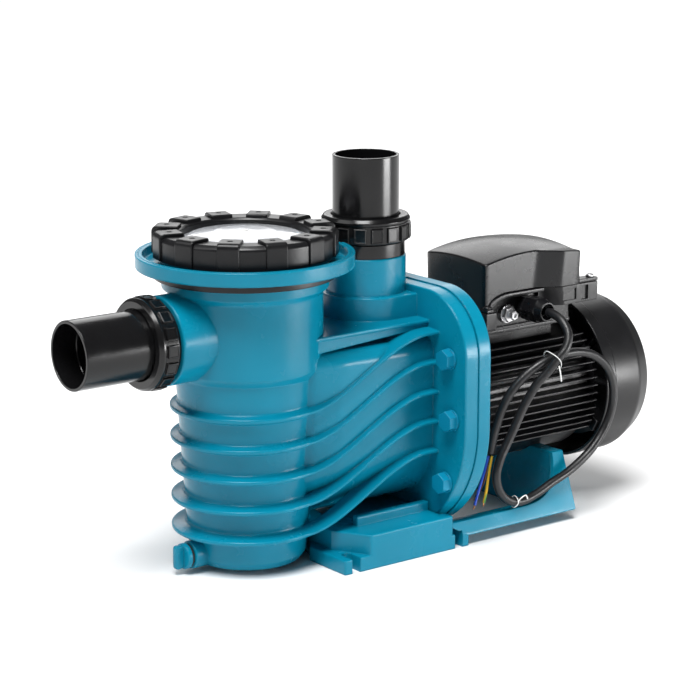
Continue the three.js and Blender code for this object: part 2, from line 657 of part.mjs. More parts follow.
// ---------------------------------------------------------------- base
function base() {
  const foot = block([42, 190], [-BASE_HALF, BASE_HALF], [0, FOOT_HEIGHT]);
  const front = slabX([[-BASE_HALF, 0], [BASE_HALF, 0], [BASE_HALF, 33], [-BASE_HALF, 33]], 60, 170);
  const chamferPoints = [[50, -100], [50, -60], [60, -60], [71, -94], [71, -100]];
  const chamfers = [1, -1].map((side) => {
    const plan = chamferPoints.map(([x, y]) => [x, side * y]);
    return upright(side > 0 ? plan.toReversed() : plan, FOOT_HEIGHT, 60);
  });
  const rails = [-1, 1].map((side) => {
    const [inner, outer] = [58 * side, 66 * side];
    return block([78, 162], [Math.min(inner, outer), Math.max(inner, outer)], [30, 42]);
  });
  const skirts = [-1, 1].map((side) => slabX(
    side < 0 ? [[-95, 10], [-62, 10], [-62, 17], [-67, 17], [-95, 13.6]]
      : [[62, 10], [95, 10], [95, 13.6], [67, 17], [62, 17]], 186, 326));
  const saddle = slabX([[-95, 10], [-50, 10], [-50, 0], [50, 0], [50, 10], [95, 10], [94, 14], [74, 66],
    [-74, 66], [-94, 14]], 312, 326);
  const gussets = [-1, 1].map((side) => {
    const plate = [[94.77, 12], [74, 66], [69, 66], [89.77, 12]].map(([y, z]) => [side * y, z]);
    const rise = [[262, 12], [326, 12], [326, 66], [312, 66], [308, 46.5], [299.4, 30.7], [284.6, 19.5]];
    return common(slabX(side > 0 ? plate : plate.toReversed(), 262, 326), slabY(rise, -100, 100));
  });
  const leanCut = [-1, 1].map((side) => {
    const outside = [[95, 13.6], [110, 13.6], [110, 80], [74, 66.5]];
    const turned = outside.map(([y, z]) => [side * y, z]);
    return slabX(side > 0 ? turned : turned.toReversed(), 250, 330);
  });
  const slots = SLOT_X.flatMap((x) => [-1, 1].map((side) => {
    const half = SLOT_WIDTH / 2;
    return block([x - half, x + half], side < 0 ? [-100, -75] : [75, 100], [-1, 40]);
  }));
  return cut(
    cut(join(foot, front, ...rails, ...skirts, saddle, ...gussets), ...leanCut, ...chamfers),
    rodZ(58, -1, 40, 0, 0, ROUND),
    rodX(120, FLANGE_X - 2, PLATE_END_X + 2, 0, SHAFT_Z, ROUND),
    rodX(68.4, 300, 340, 0, SHAFT_Z, ROUND),
    slabX([[-60, 40], [0, 36], [60, 40], [60, 60], [-60, 60]], 50, 160),
    block([80, 104], [-40, 40], [-1, 20]),
    block([128, 158], [-40, 40], [-1, 20]),
    ...slots,
  );
}
// One moulding, divided behind the rear feet by a hairline gap for the same reason as the housing.
const wholeBase = base();
piece('base', common(wholeBase, block([0, 190], [-100, 100], [-1, 80])), BLUE);
piece('base_rear', common(wholeBase, block([190 + GAP, 340], [-100, 100], [-1, 80])), BLUE);

// ---------------------------------------------------------------- power cord
// Out of the gland, down the motor's side, round a loop above the base and back up past itself.
const CORD_ROUTE = [
  [303, -74.5, 208], [303, -80, 208], [302.5, -94.5, 203.6], [301, -106, 192], [295, -110, 181],
  [286.5, -108.5, 171.5], [278, -104, 159], [269.5, -99.5, 148.5], [263, -96, 137], [256, -93.5, 124],
  [247.5, -92, 107], [239, -91, 91.5], [230.2, -91, 76.5], [226, -91, 61], [230.2, -91, 45.5],
  [241.5, -91, 34.2], [257, -91, 30], [276, -91, 33.5], [298, -91, 42], [317, -91, 48.5], [334, -91, 57],
  [350, -91, 68], [363, -91, 82], [372, -91.5, 98], [375.5, -92, 116], [373, -92, 134], [364, -92.5, 149],
  [350, -93.5, 160.5], [332, -95.5, 168], [313, -97, 171], [294, -98, 170.5], [276, -97, 166],
  [259.5, -93, 156], [247, -89, 143], [237.5, -86, 127], [231.5, -84, 110], [227.5, -83, 95],
  [225.5, -82.5, 82],
];
const CORD_STEPS = 64;

function tube(route, diameter, sides, steps) {
  const curve = new THREE.CatmullRomCurve3(route.map((p) => new THREE.Vector3(...p)), false, 'centripetal');
  const section = new THREE.Shape(arc(0, 0, diameter / 2, 0, 360 - 360 / sides, sides - 1)
    .map(([x, y]) => new THREE.Vector2(x, y)));
  return new THREE.ExtrudeGeometry(section, { steps, extrudePath: curve, bevelEnabled: false });
}
piece('power_cord', tube(CORD_ROUTE, CORD_DIAMETER, 8, CORD_STEPS), CORD_BLACK);
piece('core_blue', tube([[223.8, -81.4, 79.6], [219.5, -81.4, 66], [211, -83, 48], [203, -85, 31]], 2.7, 8, 8), CORE_BLUE);
piece('core_yellow_green', tube([[226, -84, 79.6], [223, -84, 66], [219, -85, 48], [214, -86, 32]], 2.7, 8, 8),
  CORE_YELLOW);
piece('core_brown', tube([[226.6, -80.4, 79.6], [225.5, -77.6, 66], [221, -76.4, 50], [211, -76, 36]], 2.6, 8, 8), CORE_BROWN);

// Wire ties: thin rings round the cord, across its run.
function tie(inner, at, along) {
  const ring = turnedZ(ringProfile(inner, inner + 1.4, -1.2, 1.2), MID);
  const turn = new THREE.Quaternion().setFromUnitVectors(
    new THREE.Vector3(0, 0, 1), new THREE.Vector3(...along).normalize());
  return ring.applyQuaternion(turn).translate(...at);
}
piece('cord_tie_upper', tie(11.2, [284.6, -102.6, 169], [0.85, 0.05, 0.53]), WHITE);
piece('cord_tie_lower', tie(5.2, [249, -91, 31.4], [0.97, 0, -0.24]), WHITE);

pump.position.x = -(SLOT_X[0] + SLOT_X[1]) / 2;

export default pump;
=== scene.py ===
"""Pool pump: the detailed looks of every visible piece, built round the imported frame.

Shapes are in millimetres with the pot's axis at X = 0, like the CAD. piece() puts them in the row frame.
"""
import json
import math

import bmesh
import bpy
from mathutils import Matrix, Vector


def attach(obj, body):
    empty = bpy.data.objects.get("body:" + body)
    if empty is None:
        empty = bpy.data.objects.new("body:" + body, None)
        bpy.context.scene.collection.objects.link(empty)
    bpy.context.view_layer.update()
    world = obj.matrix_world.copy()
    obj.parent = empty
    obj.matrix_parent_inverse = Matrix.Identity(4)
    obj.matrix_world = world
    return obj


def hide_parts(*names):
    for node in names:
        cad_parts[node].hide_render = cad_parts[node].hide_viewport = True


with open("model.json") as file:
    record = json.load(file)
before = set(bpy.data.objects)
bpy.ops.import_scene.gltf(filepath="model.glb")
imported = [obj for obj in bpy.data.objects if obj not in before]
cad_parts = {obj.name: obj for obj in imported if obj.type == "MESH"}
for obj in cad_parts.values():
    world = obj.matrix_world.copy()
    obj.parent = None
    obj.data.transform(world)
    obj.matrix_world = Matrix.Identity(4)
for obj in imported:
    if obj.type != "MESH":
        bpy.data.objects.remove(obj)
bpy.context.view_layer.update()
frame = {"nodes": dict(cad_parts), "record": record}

# ------------------------------------------------------------------ shared dimensions, mm
POT_AXIS_X = 116              # the row frame's X = 0 lies this far behind the pot's axis
TO_FRAME = Matrix.Scale(0.001, 4) @ Matrix.Translation((-POT_AXIS_X, 0, 0))
SHAFT_Z = 120
SUCTION_Z = 222.6
DISCHARGE_X = 138
DRAIN_Z = 17
SIDES = 128                   # round large shapes
FEW = 64                      # round small shapes
COLLAR_R = 100
FLANGE_X = 165
SEAM_X = 180
PLATE_END_X = 195
DECK_Z = 218
RIB_HEIGHTS = (36.4, 65.1, 93.8, 122.4, 151)
BOLT_PLACES = [(s * y, z) for y, z in ((93, 186), (98, 128), (89, 66)) for s in (1, -1)]
FRAME_R = 62
FIN_R = 75
COWL_SCREW_ANGLES = (210, 330, 90)
COWL_SCREW_PLACE = (385, 0)   # x, y, before it is turned about the shaft
SCREW_HOLE_R = 2.4
GLAND = (303, 208)            # x, z
EARTH_BOLT = (279, 204)       # x, z
CORD_DIAMETER = 8.5

# ------------------------------------------------------------------ camera
CAMERA_AT = (-1.347, -1.778, 0.727)
CAMERA_TURN, CAMERA_TILT = -37.22, 13.69     # azimuth and elevation, degrees
CAMERA_LENS = 124.9


def direction(azimuth, elevation):
    """From the object towards a viewer at that azimuth and elevation."""
    a, e = math.radians(azimuth), math.radians(elevation)
    return Vector((math.sin(a) * math.cos(e), -math.cos(a) * math.cos(e), math.sin(e)))


def aimed(name, data, azimuth, elevation, at=(0, 0, 0)):
    """A camera or a light at a place, looking back along that direction."""
    made = bpy.data.objects.new(name, data)
    bpy.context.scene.collection.objects.link(made)
    made.location = at
    made.rotation_mode = "QUATERNION"
    made.rotation_quaternion = (-direction(azimuth, elevation)).to_track_quat("-Z", "Y")
    return made


def add_camera():
    camera = bpy.data.cameras.new("camera")
    camera.lens = CAMERA_LENS
    camera.sensor_width = 36
    camera.clip_end = 50
    bpy.context.scene.camera = aimed("camera", camera, CAMERA_TURN, CAMERA_TILT, CAMERA_AT)


add_camera()


# ------------------------------------------------------------------ materials
class Look:
    """A principled material whose colour, roughness and surface vary by procedural patterns."""

    def __init__(self, name, roughness, metallic=0.0, **sockets):
        self.material = bpy.data.materials.new(name)
        self.material.use_nodes = True
        self.tree = self.material.node_tree
        self.shader = self.tree.nodes["Principled BSDF"]
        self.shader.inputs["Metallic"].default_value = metallic
        self.shader.inputs["Roughness"].default_value = roughness
        for socket, value in sockets.items():
            self.shader.inputs[socket.replace("_", " ")].default_value = value
        self.place = self.node("ShaderNodeTexCoord").outputs["Object"]
        self.normal = None

    def node(self, kind, **settings):
        node = self.tree.nodes.new(kind)
        for key, value in settings.items():
            setattr(node, key, value)
        return node

    def link(self, source, target):
        self.tree.links.new(source, target)

    def noise(self, scale, detail=3.0, stretch=(1, 1, 1)):
        """A noise pattern with so many features to the metre."""
        mapping = self.node("ShaderNodeMapping")
        mapping.inputs["Scale"].default_value = stretch
        self.link(self.place, mapping.inputs["Vector"])
        noise = self.node("ShaderNodeTexNoise")
        noise.inputs["Scale"].default_value = scale
        noise.inputs["Detail"].default_value = detail
        self.link(mapping.outputs["Vector"], noise.inputs["Vector"])
        return noise.outputs["Fac"]

    def colours(self, value, *stops):
        """Colour by value, from (position, colour) stops."""
        ramp = self.node("ShaderNodeValToRGB")
        points = ramp.color_ramp.elements
        while len(points) < len(stops):
            points.new(0.5)
        for point, (position, colour) in zip(points, stops):
            point.position = position
            point.color = (*colour, 1)
        self.link(value, ramp.inputs["Fac"])
        self.link(ramp.outputs["Color"], self.shader.inputs["Base Color"])
        return self

    def mottled(self, colour, amount=0.08, scale=14.0):
        """Base colour with soft patches lighter and darker by amount."""
        dark = tuple(c * (1 - amount) for c in colour)
        light = tuple(min(1, c * (1 + amount)) for c in colour)
        return self.colours(self.noise(scale), (0.3, dark), (0.7, light))

    def uneven_gloss(self, low, high, scale=40.0):
        """Roughness wandering from low to high with a noise pattern's middle range."""
        spread = self.node("ShaderNodeMapRange")
        for socket, number in (("From Min", 0.35), ("From Max", 0.65), ("To Min", low), ("To Max", high)):
            spread.inputs[socket].default_value = number
        self.link(self.noise(scale), spread.inputs["Value"])
        self.link(spread.outputs["Result"], self.shader.inputs["Roughness"])
        return self

    def eased(self, radius):
        """Softens the shading where surfaces meet, as a moulding's fillets do."""
        bevel = self.node("ShaderNodeBevel", samples=4)
        bevel.inputs["Radius"].default_value = radius
        self.normal = bevel.outputs["Normal"]
        self.link(self.normal, self.shader.inputs["Normal"])
        return self

    def bumped(self, value, depth):
        """Raises the surface by value times depth, in metres."""
        bump = self.node("ShaderNodeBump")
        bump.inputs["Strength"].default_value = 1
        bump.inputs["Distance"].default_value = depth
        self.link(value, bump.inputs["Height"])
        if self.normal:
            self.link(self.normal, bump.inputs["Normal"])
        self.normal = bump.outputs["Normal"]
        self.link(self.normal, self.shader.inputs["Normal"])
        return self

    def bands(self, scale, axis, distortion=0.0):
        wave = self.node("ShaderNodeTexWave", wave_type="BANDS", bands_direction=axis)
        wave.inputs["Scale"].default_value = scale
        wave.inputs["Distortion"].default_value = distortion
        self.link(self.place, wave.inputs["Vector"])
        return wave.outputs["Fac"]


# Moulded plastics: colour, lowest and highest roughness, grain to the metre, its depth, fillet, specular.
MOULDED = {
    "pump_blue": ((0.001, 0.2, 0.31), 0.2, 0.28, 1500, 0.00001, 0.0016, 0.25),
    "bolt_blue": ((0.0015, 0.2, 0.33), 0.28, 0.4, 1500, 0.00002, 0.0008, 0.24),
    "union_black": ((0.005, 0.005, 0.0055), 0.16, 0.22, 1500, 0.00002, 0.0006, 0.4),
    "ring_black": ((0.006, 0.006, 0.007), 0.28, 0.36, 1800, 0.00002, 0.0010, 0.36),
    "box_black": ((0.005, 0.005, 0.006), 0.25, 0.31, 2000, 0.00001, 0.0008, 0.4),
    "motor_black": ((0.006, 0.006, 0.0068), 0.3, 0.38, 900, 0.00006, 0.0006, 0.42),
    "inner_plastic": ((0.012, 0.0125, 0.014), 0.45, 0.6, 900, 0.00006, 0.0005, 0.5),
    "basket_plastic": ((0.62, 0.65, 0.67), 0.35, 0.5, 900, 0.00006, 0.0006, 0.5),
    "white_plastic": ((0.78, 0.78, 0.75), 0.35, 0.5, 900, 0.00006, 0.0004, 0.5),
    "rubber": ((0.009, 0.009, 0.0095), 0.6, 0.8, 2500, 0.00006, 0.0003, 0.5),
    "tie_white": ((0.85, 0.85, 0.83), 0.3, 0.45, 3000, 0.00006, 0.0002, 0.5),
    "core_blue": ((0.012, 0.07, 0.5), 0.3, 0.45, 3000, 0.00006, 0.0002, 0.5),
    "core_brown": ((0.1, 0.035, 0.014), 0.3, 0.45, 3000, 0.00006, 0.0002, 0.5),
}


def moulded(name, colour, low, high, grain, grain_depth, fillet, specular):
    """Slight flow marks in the colour, uneven gloss and a fine grain."""
    look = Look(name, (low + high) / 2, Specular_IOR_Level=specular)
    look.mottled(colour).uneven_gloss(low, high).eased(fillet)
    return look.bumped(look.noise(grain, 2.0), grain_depth)


def make_looks():
    looks = {name: moulded(name, *settings) for name, settings in MOULDED.items()}
    clear = Look("clear_lid", 0.09, Transmission_Weight=0.45, IOR=1.5).mottled((0.72, 0.74, 0.78), 0.03)
    looks["clear_lid"] = clear.bumped(clear.noise(45, 1.0), 0.00025)

    steel = Look("steel", 0.28, 1.0).mottled((0.6, 0.6, 0.61), 0.06, 60).uneven_gloss(0.2, 0.36, 120)
    looks["steel"] = steel.eased(0.0003).bumped(steel.noise(2600, 2.0, (0.15, 1, 1)), 0.00003)

    iron = Look("laminated_iron", 0.45, 0.9).mottled((0.22, 0.22, 0.23), 0.15, 90)
    looks["laminated_iron"] = iron.bumped(iron.bands(320, "X"), 0.0002)

    copper = Look("winding_copper", 0.3, 1.0).mottled((0.62, 0.26, 0.12), 0.15, 200)
    looks["winding_copper"] = copper.bumped(copper.bands(190, "X", 4.0), 0.0006)

    cord = Look("cord_black", 0.42).mottled((0.008, 0.008, 0.009), 0.15, 60).uneven_gloss(0.3, 0.42, 90)
    looks["cord_black"] = cord.bumped(cord.noise(500, 3.0), 0.00025)

    stripes = Look("core_yellow_green", 0.38)
    stripes.colours(stripes.bands(70, "Y", 0.6), (0.6, (0.72, 0.42, 0.015)), (0.66, (0.03, 0.25, 0.03)))
    looks["core_yellow_green"] = stripes.bumped(stripes.noise(3000), 0.00003)
    return {name: look.material for name, look in looks.items()}


LOOKS = make_looks()


# ------------------------------------------------------------------ mesh building
def solid(corners, faces):
    """A mesh object in millimetres with its normals outward."""
    mesh = bpy.data.meshes.new("solid")
    mesh.from_pydata([tuple(c) for c in corners], [], faces)
    work = bmesh.new()
    work.from_mesh(mesh)
    bmesh.ops.remove_doubles(work, verts=work.verts, dist=1e-4)
    bmesh.ops.recalc_face_normals(work, faces=work.faces)
    work.to_mesh(mesh)
    work.free()
    made = bpy.data.objects.new("solid", mesh)
    bpy.context.scene.collection.objects.link(made)
    return made


def skin(rings, closed=False):
    """A skin through rings of equal point count, with a face at each end unless it is closed on itself."""
    count = len(rings[0])
    corners = [p for ring in rings for p in ring]
    faces = []
    for i in range(len(rings) if closed else len(rings) - 1):
        here, there = i * count, (i + 1) % len(rings) * count
        for j in range(count):
            k = (j + 1) % count
            faces.append((here + j, here + k, there + k, there + j))
    if not closed:
        faces += [tuple(range(count))[::-1], tuple(range(len(corners) - count, len(corners)))]
    return solid(corners, faces)


def lift(axis, p, along):
    """The flat point p, which is (y, z), (x, z) or (x, y), at that place along the axis."""
    return {"X": (along, p[0], p[1]), "Y": (p[0], along, p[1]), "Z": (p[0], p[1], along)}[axis]


def turned(profile, axis="Z", at=(0, 0), sides=SIDES, turn=0.0):
    """A turned solid from (radius, height) points, which start and end on the axis or else make a ring."""
    corners, rings, faces = [], [], []
    for radius, height in profile:
        if radius < 1e-6:
            rings.append([len(corners)] * sides)
            corners.append(lift(axis, at, height))
            continue
        rings.append(list(range(len(corners), len(corners) + sides)))
        for k in range(sides):
            t = 2 * math.pi * k / sides + math.radians(turn)
            corners.append(lift(axis, (at[0] + radius * math.cos(t), at[1] + radius * math.sin(t)), height))
    ring_shape = profile[0][0] > 1e-6
    for i in range(len(rings) if ring_shape else len(rings) - 1):
        here, there = rings[i], rings[(i + 1) % len(rings)]
        for k in range(sides):
            n = (k + 1) % sides
            face = []
            for c in (here[k], here[n], there[n], there[k]):
                if c not in face:
                    face.append(c)
            if len(face) > 2:
                faces.append(face)
    return solid(corners, faces)


def rounded(points, radius, closed=False, steps=4):
    """Rounds a flat outline's corners. radius is one number or one for each point."""
    out = []
    for i, p in enumerate(points):
        r = radius if isinstance(radius, (int, float)) else radius[i]
        here = Vector(p)
        if r <= 0 or (not closed and i in (0, len(points) - 1)):
            out.append(tuple(here))
            continue
        back, ahead = Vector(points[i - 1]) - here, Vector(points[(i + 1) % len(points)]) - here
        angle = back.angle(ahead)
        if angle > math.radians(176):
            out.append(tuple(here))
            continue
        reach = min(r / math.tan(angle / 2), 0.48 * back.length, 0.48 * ahead.length)
        start, end = here + back.normalized() * reach, here + ahead.normalized() * reach
        for k in range(steps + 1):
            u = k / steps
            out.append(tuple(start * (1 - u) ** 2 + here * (2 * u * (1 - u)) + end * u ** 2))
    return out


def arc(cx, cy, r, start, end, steps):
    angles = [math.radians(start + (end - start) * i / steps) for i in range(steps + 1)]
    return [(cx + r * math.cos(t), cy + r * math.sin(t)) for t in angles]


def inset(outline, amount):
    """The outline moved inwards by amount, each corner along its mitre."""
    area = sum(a[0] * b[1] - b[0] * a[1] for a, b in zip(outline, outline[1:] + outline[:1]))
    side = 1 if area > 0 else -1
    out = []
    for i, p in enumerate(outline):
        here = Vector(p)
        before = (here - Vector(outline[i - 1])).normalized()
        after = (Vector(outline[(i + 1) % len(outline)]) - here).normalized()
        normal = Vector((-before.y - after.y, before.x + after.x)) * side
        if normal.length < 1e-6:
            normal = Vector((-before.y, before.x)) * side
        normal.normalize()
        squeeze = max(0.4, normal.dot(Vector((-before.y, before.x)) * side))
        out.append(tuple(here + normal * (amount / squeeze)))
    return out


def prism(outline, axis, low, high, edge=0.8, steps=3):
    """A flat outline drawn out along an axis, its end edges rounded by edge."""
    if edge <= 0:
        return skin([[lift(axis, p, low) for p in outline], [lift(axis, p, high) for p in outline]])
    rings = []
    for k in range(steps + 1):
        t = math.pi / 2 * k / steps
        rings.append((inset(outline, edge * (1 - math.sin(t))), low + edge * (1 - math.cos(t))))
    rings += [(ring, low + high - along) for ring, along in reversed(rings)]
    return skin([[lift(axis, p, along) for p in ring] for ring, along in rings])


def block(xs, ys, zs, edge=0.8):
    (x0, x1), (y0, y1), (z0, z1) = xs, ys, zs
    outline = [(x0, y0), (x1, y0), (x1, y1), (x0, y1)]
    if edge > 0:
        outline = rounded(outline, edge, True, 3)
    return prism(outline, "Z", z0, z1, edge)


def rod(axis, radius, low, high, at, sides=FEW, edges=None, turn=0.0, steps=4):
    """A cylinder, or a prism where it has few sides. edges are the roundings of its low and high end."""
    profile = [(0, low), (radius, low), (radius, high), (0, high)]
    if edges:
        profile = rounded(profile, [0, *edges, 0], steps=steps)
    return turned(profile, axis, at, sides, turn)


def ring(axis, inner, outer, low, high, at, sides=SIDES, edge=0.5):
    profile = [(inner, low), (outer, low), (outer, high), (inner, high)]
    return turned(rounded(profile, edge, True, 2) if edge > 0 else profile, axis, at, sides)


def torus(axis, at, along, radius, thickness, sides=SIDES):
    return turned([(radius + x, along + z) for x, z in arc(0, 0, thickness, 0, 337.5, 15)], axis, at, sides)


def tube(points, radius, sides=12):
    """A round tube along a path, with its cross-section carried along without twist."""
    path = [Vector(p) for p in points]
    rings, across = [], None
    for i, here in enumerate(path):
        along = (path[min(i + 1, len(path) - 1)] - path[max(i - 1, 0)]).normalized()
        if across is None:
            across = along.orthogonal().normalized()
        across = (across - along * across.dot(along)).normalized()
        other = along.cross(across)
        rings.append([here + (across * math.cos(t) + other * math.sin(t)) * radius
                      for t in (2 * math.pi * k / sides for k in range(sides))])
    return skin(rings)


def smooth_path(points, each=8):
    """Centripetal Catmull-Rom curve through the points, as the CAD's cord follows."""
    knots = [Vector(p) for p in points]
    knots = [knots[0] * 2 - knots[1], *knots, knots[-1] * 2 - knots[-2]]
    out = []
    for p0, p1, p2, p3 in zip(knots, knots[1:], knots[2:], knots[3:]):
        t0, t1 = 0.0, math.sqrt((p1 - p0).length)
        t2 = t1 + math.sqrt((p2 - p1).length)
        t3 = t2 + math.sqrt((p3 - p2).length)
        for k in range(each):
            t = t1 + (t2 - t1) * k / each
            a1 = p0.lerp(p1, (t - t0) / (t1 - t0))
            a2 = p1.lerp(p2, (t - t1) / (t2 - t1))
            a3 = p2.lerp(p3, (t - t2) / (t3 - t2))
            b1 = a1.lerp(a2, (t - t0) / (t2 - t0))
            b2 = a2.lerp(a3, (t - t1) / (t3 - t1))
            out.append(b1.lerp(b2, (t - t1) / (t2 - t1)))
    return [*out, knots[-2]]


def moved(shape, matrix):
    shape.data.transform(matrix)
    return shape


def about_shaft(shape, degrees):
    """Turns a shape made round the axis Y = Z = 0 and lifts it to the shaft."""
    return moved(shape, Matrix.Translation((0, 0, SHAFT_Z)) @ Matrix.Rotation(math.radians(degrees), 4, "X"))


def repeat(make, angles, matrix_of):
    return merged([moved(make(), matrix_of(a)) for a in angles])


def merged(shapes):
    """Separate shapes in one mesh, with nothing cut where they meet."""
    work = bmesh.new()
    for shape in shapes:
        work.from_mesh(shape.data)
        if shape is not shapes[0]:
            bpy.data.objects.remove(shape)
    work.to_mesh(shapes[0].data)
    work.free()
    return shapes[0]


def boolean(body, operation, tools):
    for tool in tools:
        step = body.modifiers.new("step", "BOOLEAN")
        step.operation, step.object, step.solver = operation, tool, "MANIFOLD"
        result = body.evaluated_get(bpy.context.evaluated_depsgraph_get())
        mesh = bpy.data.meshes.new_from_object(result)
        body.modifiers.clear()
        body.data = mesh
        bpy.data.objects.remove(tool)
    return body


def join(body, *tools):
    return boolean(body, "UNION", tools)


def cut(body, *tools):
    return boolean(body, "DIFFERENCE", tools)


def common(body, *tools):
    return boolean(body, "INTERSECT", tools)


def piece(shape, name, body, slot, *nodes, smooth=32):
    """Places a finished shape in the row frame as a visible piece."""
    shape.name = shape.data.name = name
    mesh = shape.data
    mesh.transform(TO_FRAME)
    work = bmesh.new()
    work.from_mesh(mesh)
    bmesh.ops.remove_doubles(work, verts=work.verts, dist=2e-6)
    bmesh.ops.dissolve_degenerate(work, edges=work.edges, dist=1e-6)
    work.to_mesh(mesh)
    work.free()
    mesh.polygons.foreach_set("use_smooth", [True] * len(mesh.polygons))
    mesh.set_sharp_from_angle(angle=math.radians(smooth))
    weighted = shape.modifiers.new("weighted", "WEIGHTED_NORMAL")
    weighted.keep_sharp = True
    mesh.materials.clear()
    mesh.materials.append(LOOKS[slot])
    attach(shape, body)
    if nodes:
        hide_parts(*nodes)
    return shape


# ------------------------------------------------------------------ power cord, its cores and its ties
CORD_ROUTE = [
    (303, -74.5, 208), (303, -80, 208), (302.5, -94.5, 203.6), (301, -106, 192), (295, -110, 181),
    (286.5, -108.5, 171.5), (278, -104, 159), (269.5, -99.5, 148.5), (263, -96, 137), (256, -93.5, 124),
    (247.5, -92, 107), (239, -91, 91.5), (230.2, -91, 76.5), (226, -91, 61), (230.2, -91, 45.5),
    (241.5, -91, 34.2), (257, -91, 30), (276, -91, 33.5), (298, -91, 42), (317, -91, 48.5), (334, -91, 57),
    (350, -91, 68), (363, -91, 82), (372, -91.5, 98), (375.5, -92, 116), (373, -92, 134), (364, -92.5, 149),
    (350, -93.5, 160.5), (332, -95.5, 168), (313, -97, 171), (294, -98, 170.5), (276, -97, 166),
    (259.5, -93, 156), (247, -89, 143), (237.5, -86, 127), (231.5, -84, 110), (227.5, -83, 95),
    (225.5, -82.5, 82),
]
CORE_ROUTES = {
    "core_blue": [(223.8, -81.4, 79.6), (219.5, -81.4, 66), (211, -83, 48), (203, -85, 31)],
    "core_yellow_green": [(226, -84, 79.6), (223, -84, 66), (219, -85, 48), (214, -86, 32)],
    "core_brown": [(226.6, -80.4, 79.6), (225.5, -77.6, 66), (221, -76.4, 50), (211, -76, 36)],
}
CORE_RADIUS = 1.35
STRANDS_RADIUS = 0.7
TIE_RADIUS = 0.5


def cord_curve(points):
    """The cord's sheath as a curve object in the row frame."""
    curve = bpy.data.curves.new("power_cord_sheath", "CURVE")
    curve.dimensions = "3D"
    curve.bevel_depth = CORD_DIAMETER / 2 * 0.001
    curve.bevel_resolution = 6
    curve.use_fill_caps = True
    spline = curve.splines.new("POLY")
    spline.points.add(len(points) - 1)
    for point, place in zip(spline.points, points):
        point.co = (*(TO_FRAME @ place), 1)
    spline.use_smooth = True
    sheath = bpy.data.objects.new("power_cord_sheath", curve)
    bpy.context.scene.collection.objects.link(sheath)
    curve.materials.append(LOOKS["cord_black"])
    return sheath


def wire_tie(centre, along, radius, tail):
    """A thin wire round the cord, with its two ends twisted into a short tail."""
    turn = Vector((0, 0, 1)).rotation_difference(Vector(along).normalized())
    rings = []
    for t in (2 * math.pi * k / 40 for k in range(40)):
        spoke = Vector((radius * math.cos(t), radius * math.sin(t), 0.5 * math.sin(3 * t)))
        around = [Vector((math.cos(s) * math.cos(t), math.cos(s) * math.sin(t), math.sin(s)))
                  for s in (2 * math.pi * k / 8 for k in range(8))]
        rings.append([Vector(centre) + turn @ spoke + (turn @ p) * TIE_RADIUS for p in around])
    shapes = [skin(rings, closed=True)]
    path = smooth_path(tail, 10)
    for side in (0, math.pi):
        twists = [side + i * 0.9 for i in range(len(path))]
        strand = [p + Vector((math.cos(t), 0, math.sin(t) * 0.4)) * TIE_RADIUS for p, t in zip(path, twists)]
        shapes.append(tube(strand, 0.42, 8))
    return merged(shapes)


def build_cord():
    path = smooth_path(CORD_ROUTE)
    sheath = cord_curve(path)
    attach(sheath, "housing")
    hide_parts("power_cord")
    for node, route in CORE_ROUTES.items():
        route = smooth_path(route, 10)
        insulation = tube(route[:-2], CORE_RADIUS, 16)
        piece(insulation, node + "_insulation", "housing", node, node)
        tip = tube([route[-3], route[-1]], STRANDS_RADIUS, 10)
        piece(tip, node + "_strands", "housing", "winding_copper")
    upper = wire_tie((284.6, -102.6, 169), (0.85, 0.05, 0.53), 10.4,
                     [(283.5, -113, 165), (284.3, -114, 160), (285.6, -113.8, 154.5), (287, -113, 149.5)])
    lower = wire_tie((249, -91, 31.4), (0.97, 0, -0.24), 5.6,
                     [(249.5, -96.5, 33), (253, -97.5, 36.5), (258.5, -97, 37.5), (262, -96, 33)])
    piece(upper, "cord_tie_upper_wire", "housing", "tie_white", "cord_tie_upper")
    piece(lower, "cord_tie_lower_wire", "housing", "tie_white", "cord_tie_lower")


build_cord()


# ------------------------------------------------------------------ pump housing
def flange_outline(grow):
    """Both clamped flanges: a half circle below, upright sides and round upper corners."""
    r, corner, top = 116 + grow, 60, 246 + grow
    return [*arc(0, SHAFT_Z, r, 180, 360, 72), *arc(r - corner, top - corner, corner, 0, 90, 20),
            *arc(corner - r, top - corner, corner, 90, 180, 20)]


def pot_outside():
    def wall(z):
        return 54.5 + 0.06 * z
    points, radii = [(0, 5), (50, 5), (54.5, 12)], [0, 3, 4]
    for z in RIB_HEIGHTS:
        points += [(wall(z), z - 4.2), (70.7, z - 1.8), (70.7, z + 1.8), (wall(z), z + 4.2)]
        radii += [2.5, 1.6, 1.6, 2.5]
    points += [(65.6, 181), (71, 188), (71, 257), (76.5, 262), (76.5, 280), (COLLAR_R, 280), (COLLAR_R, 293),
               (97.4, 293), (97, 292.3), (96.4, 292.3), (96, 293), (93, 293), (93, 284), (74, 284),
               (74, 299.5), (70.5, 299.5), (70.5, 296.5), (65.5, 296.5), (65.5, 299.5), (0, 299.5)]
    radii += [4, 4, 3, 2, 2, 1.6, 1.4, 0.2, 0.1, 0.1, 0.2, 1.2, 1.5, 1.5, 0.8, 0.3, 0.3, 0.3, 0.5, 0]
    return turned(rounded(points, radii), sides=192)


def pot_inside():
    return turned(rounded([(0, 12), (46, 12), (52, 48), (57, 190), (62, 190), (62, 310), (0, 310)],
                          [0, 5, 8, 1, 1, 0, 0]))


def along_list(x, stops):
    """Straight-line value between (x, value) stops."""
    for (x0, v0), (x1, v1) in zip(stops, stops[1:]):
        if x <= x1:
            return v0 + (v1 - v0) * (x - x0) / (x1 - x0)
    return stops[-1][1]


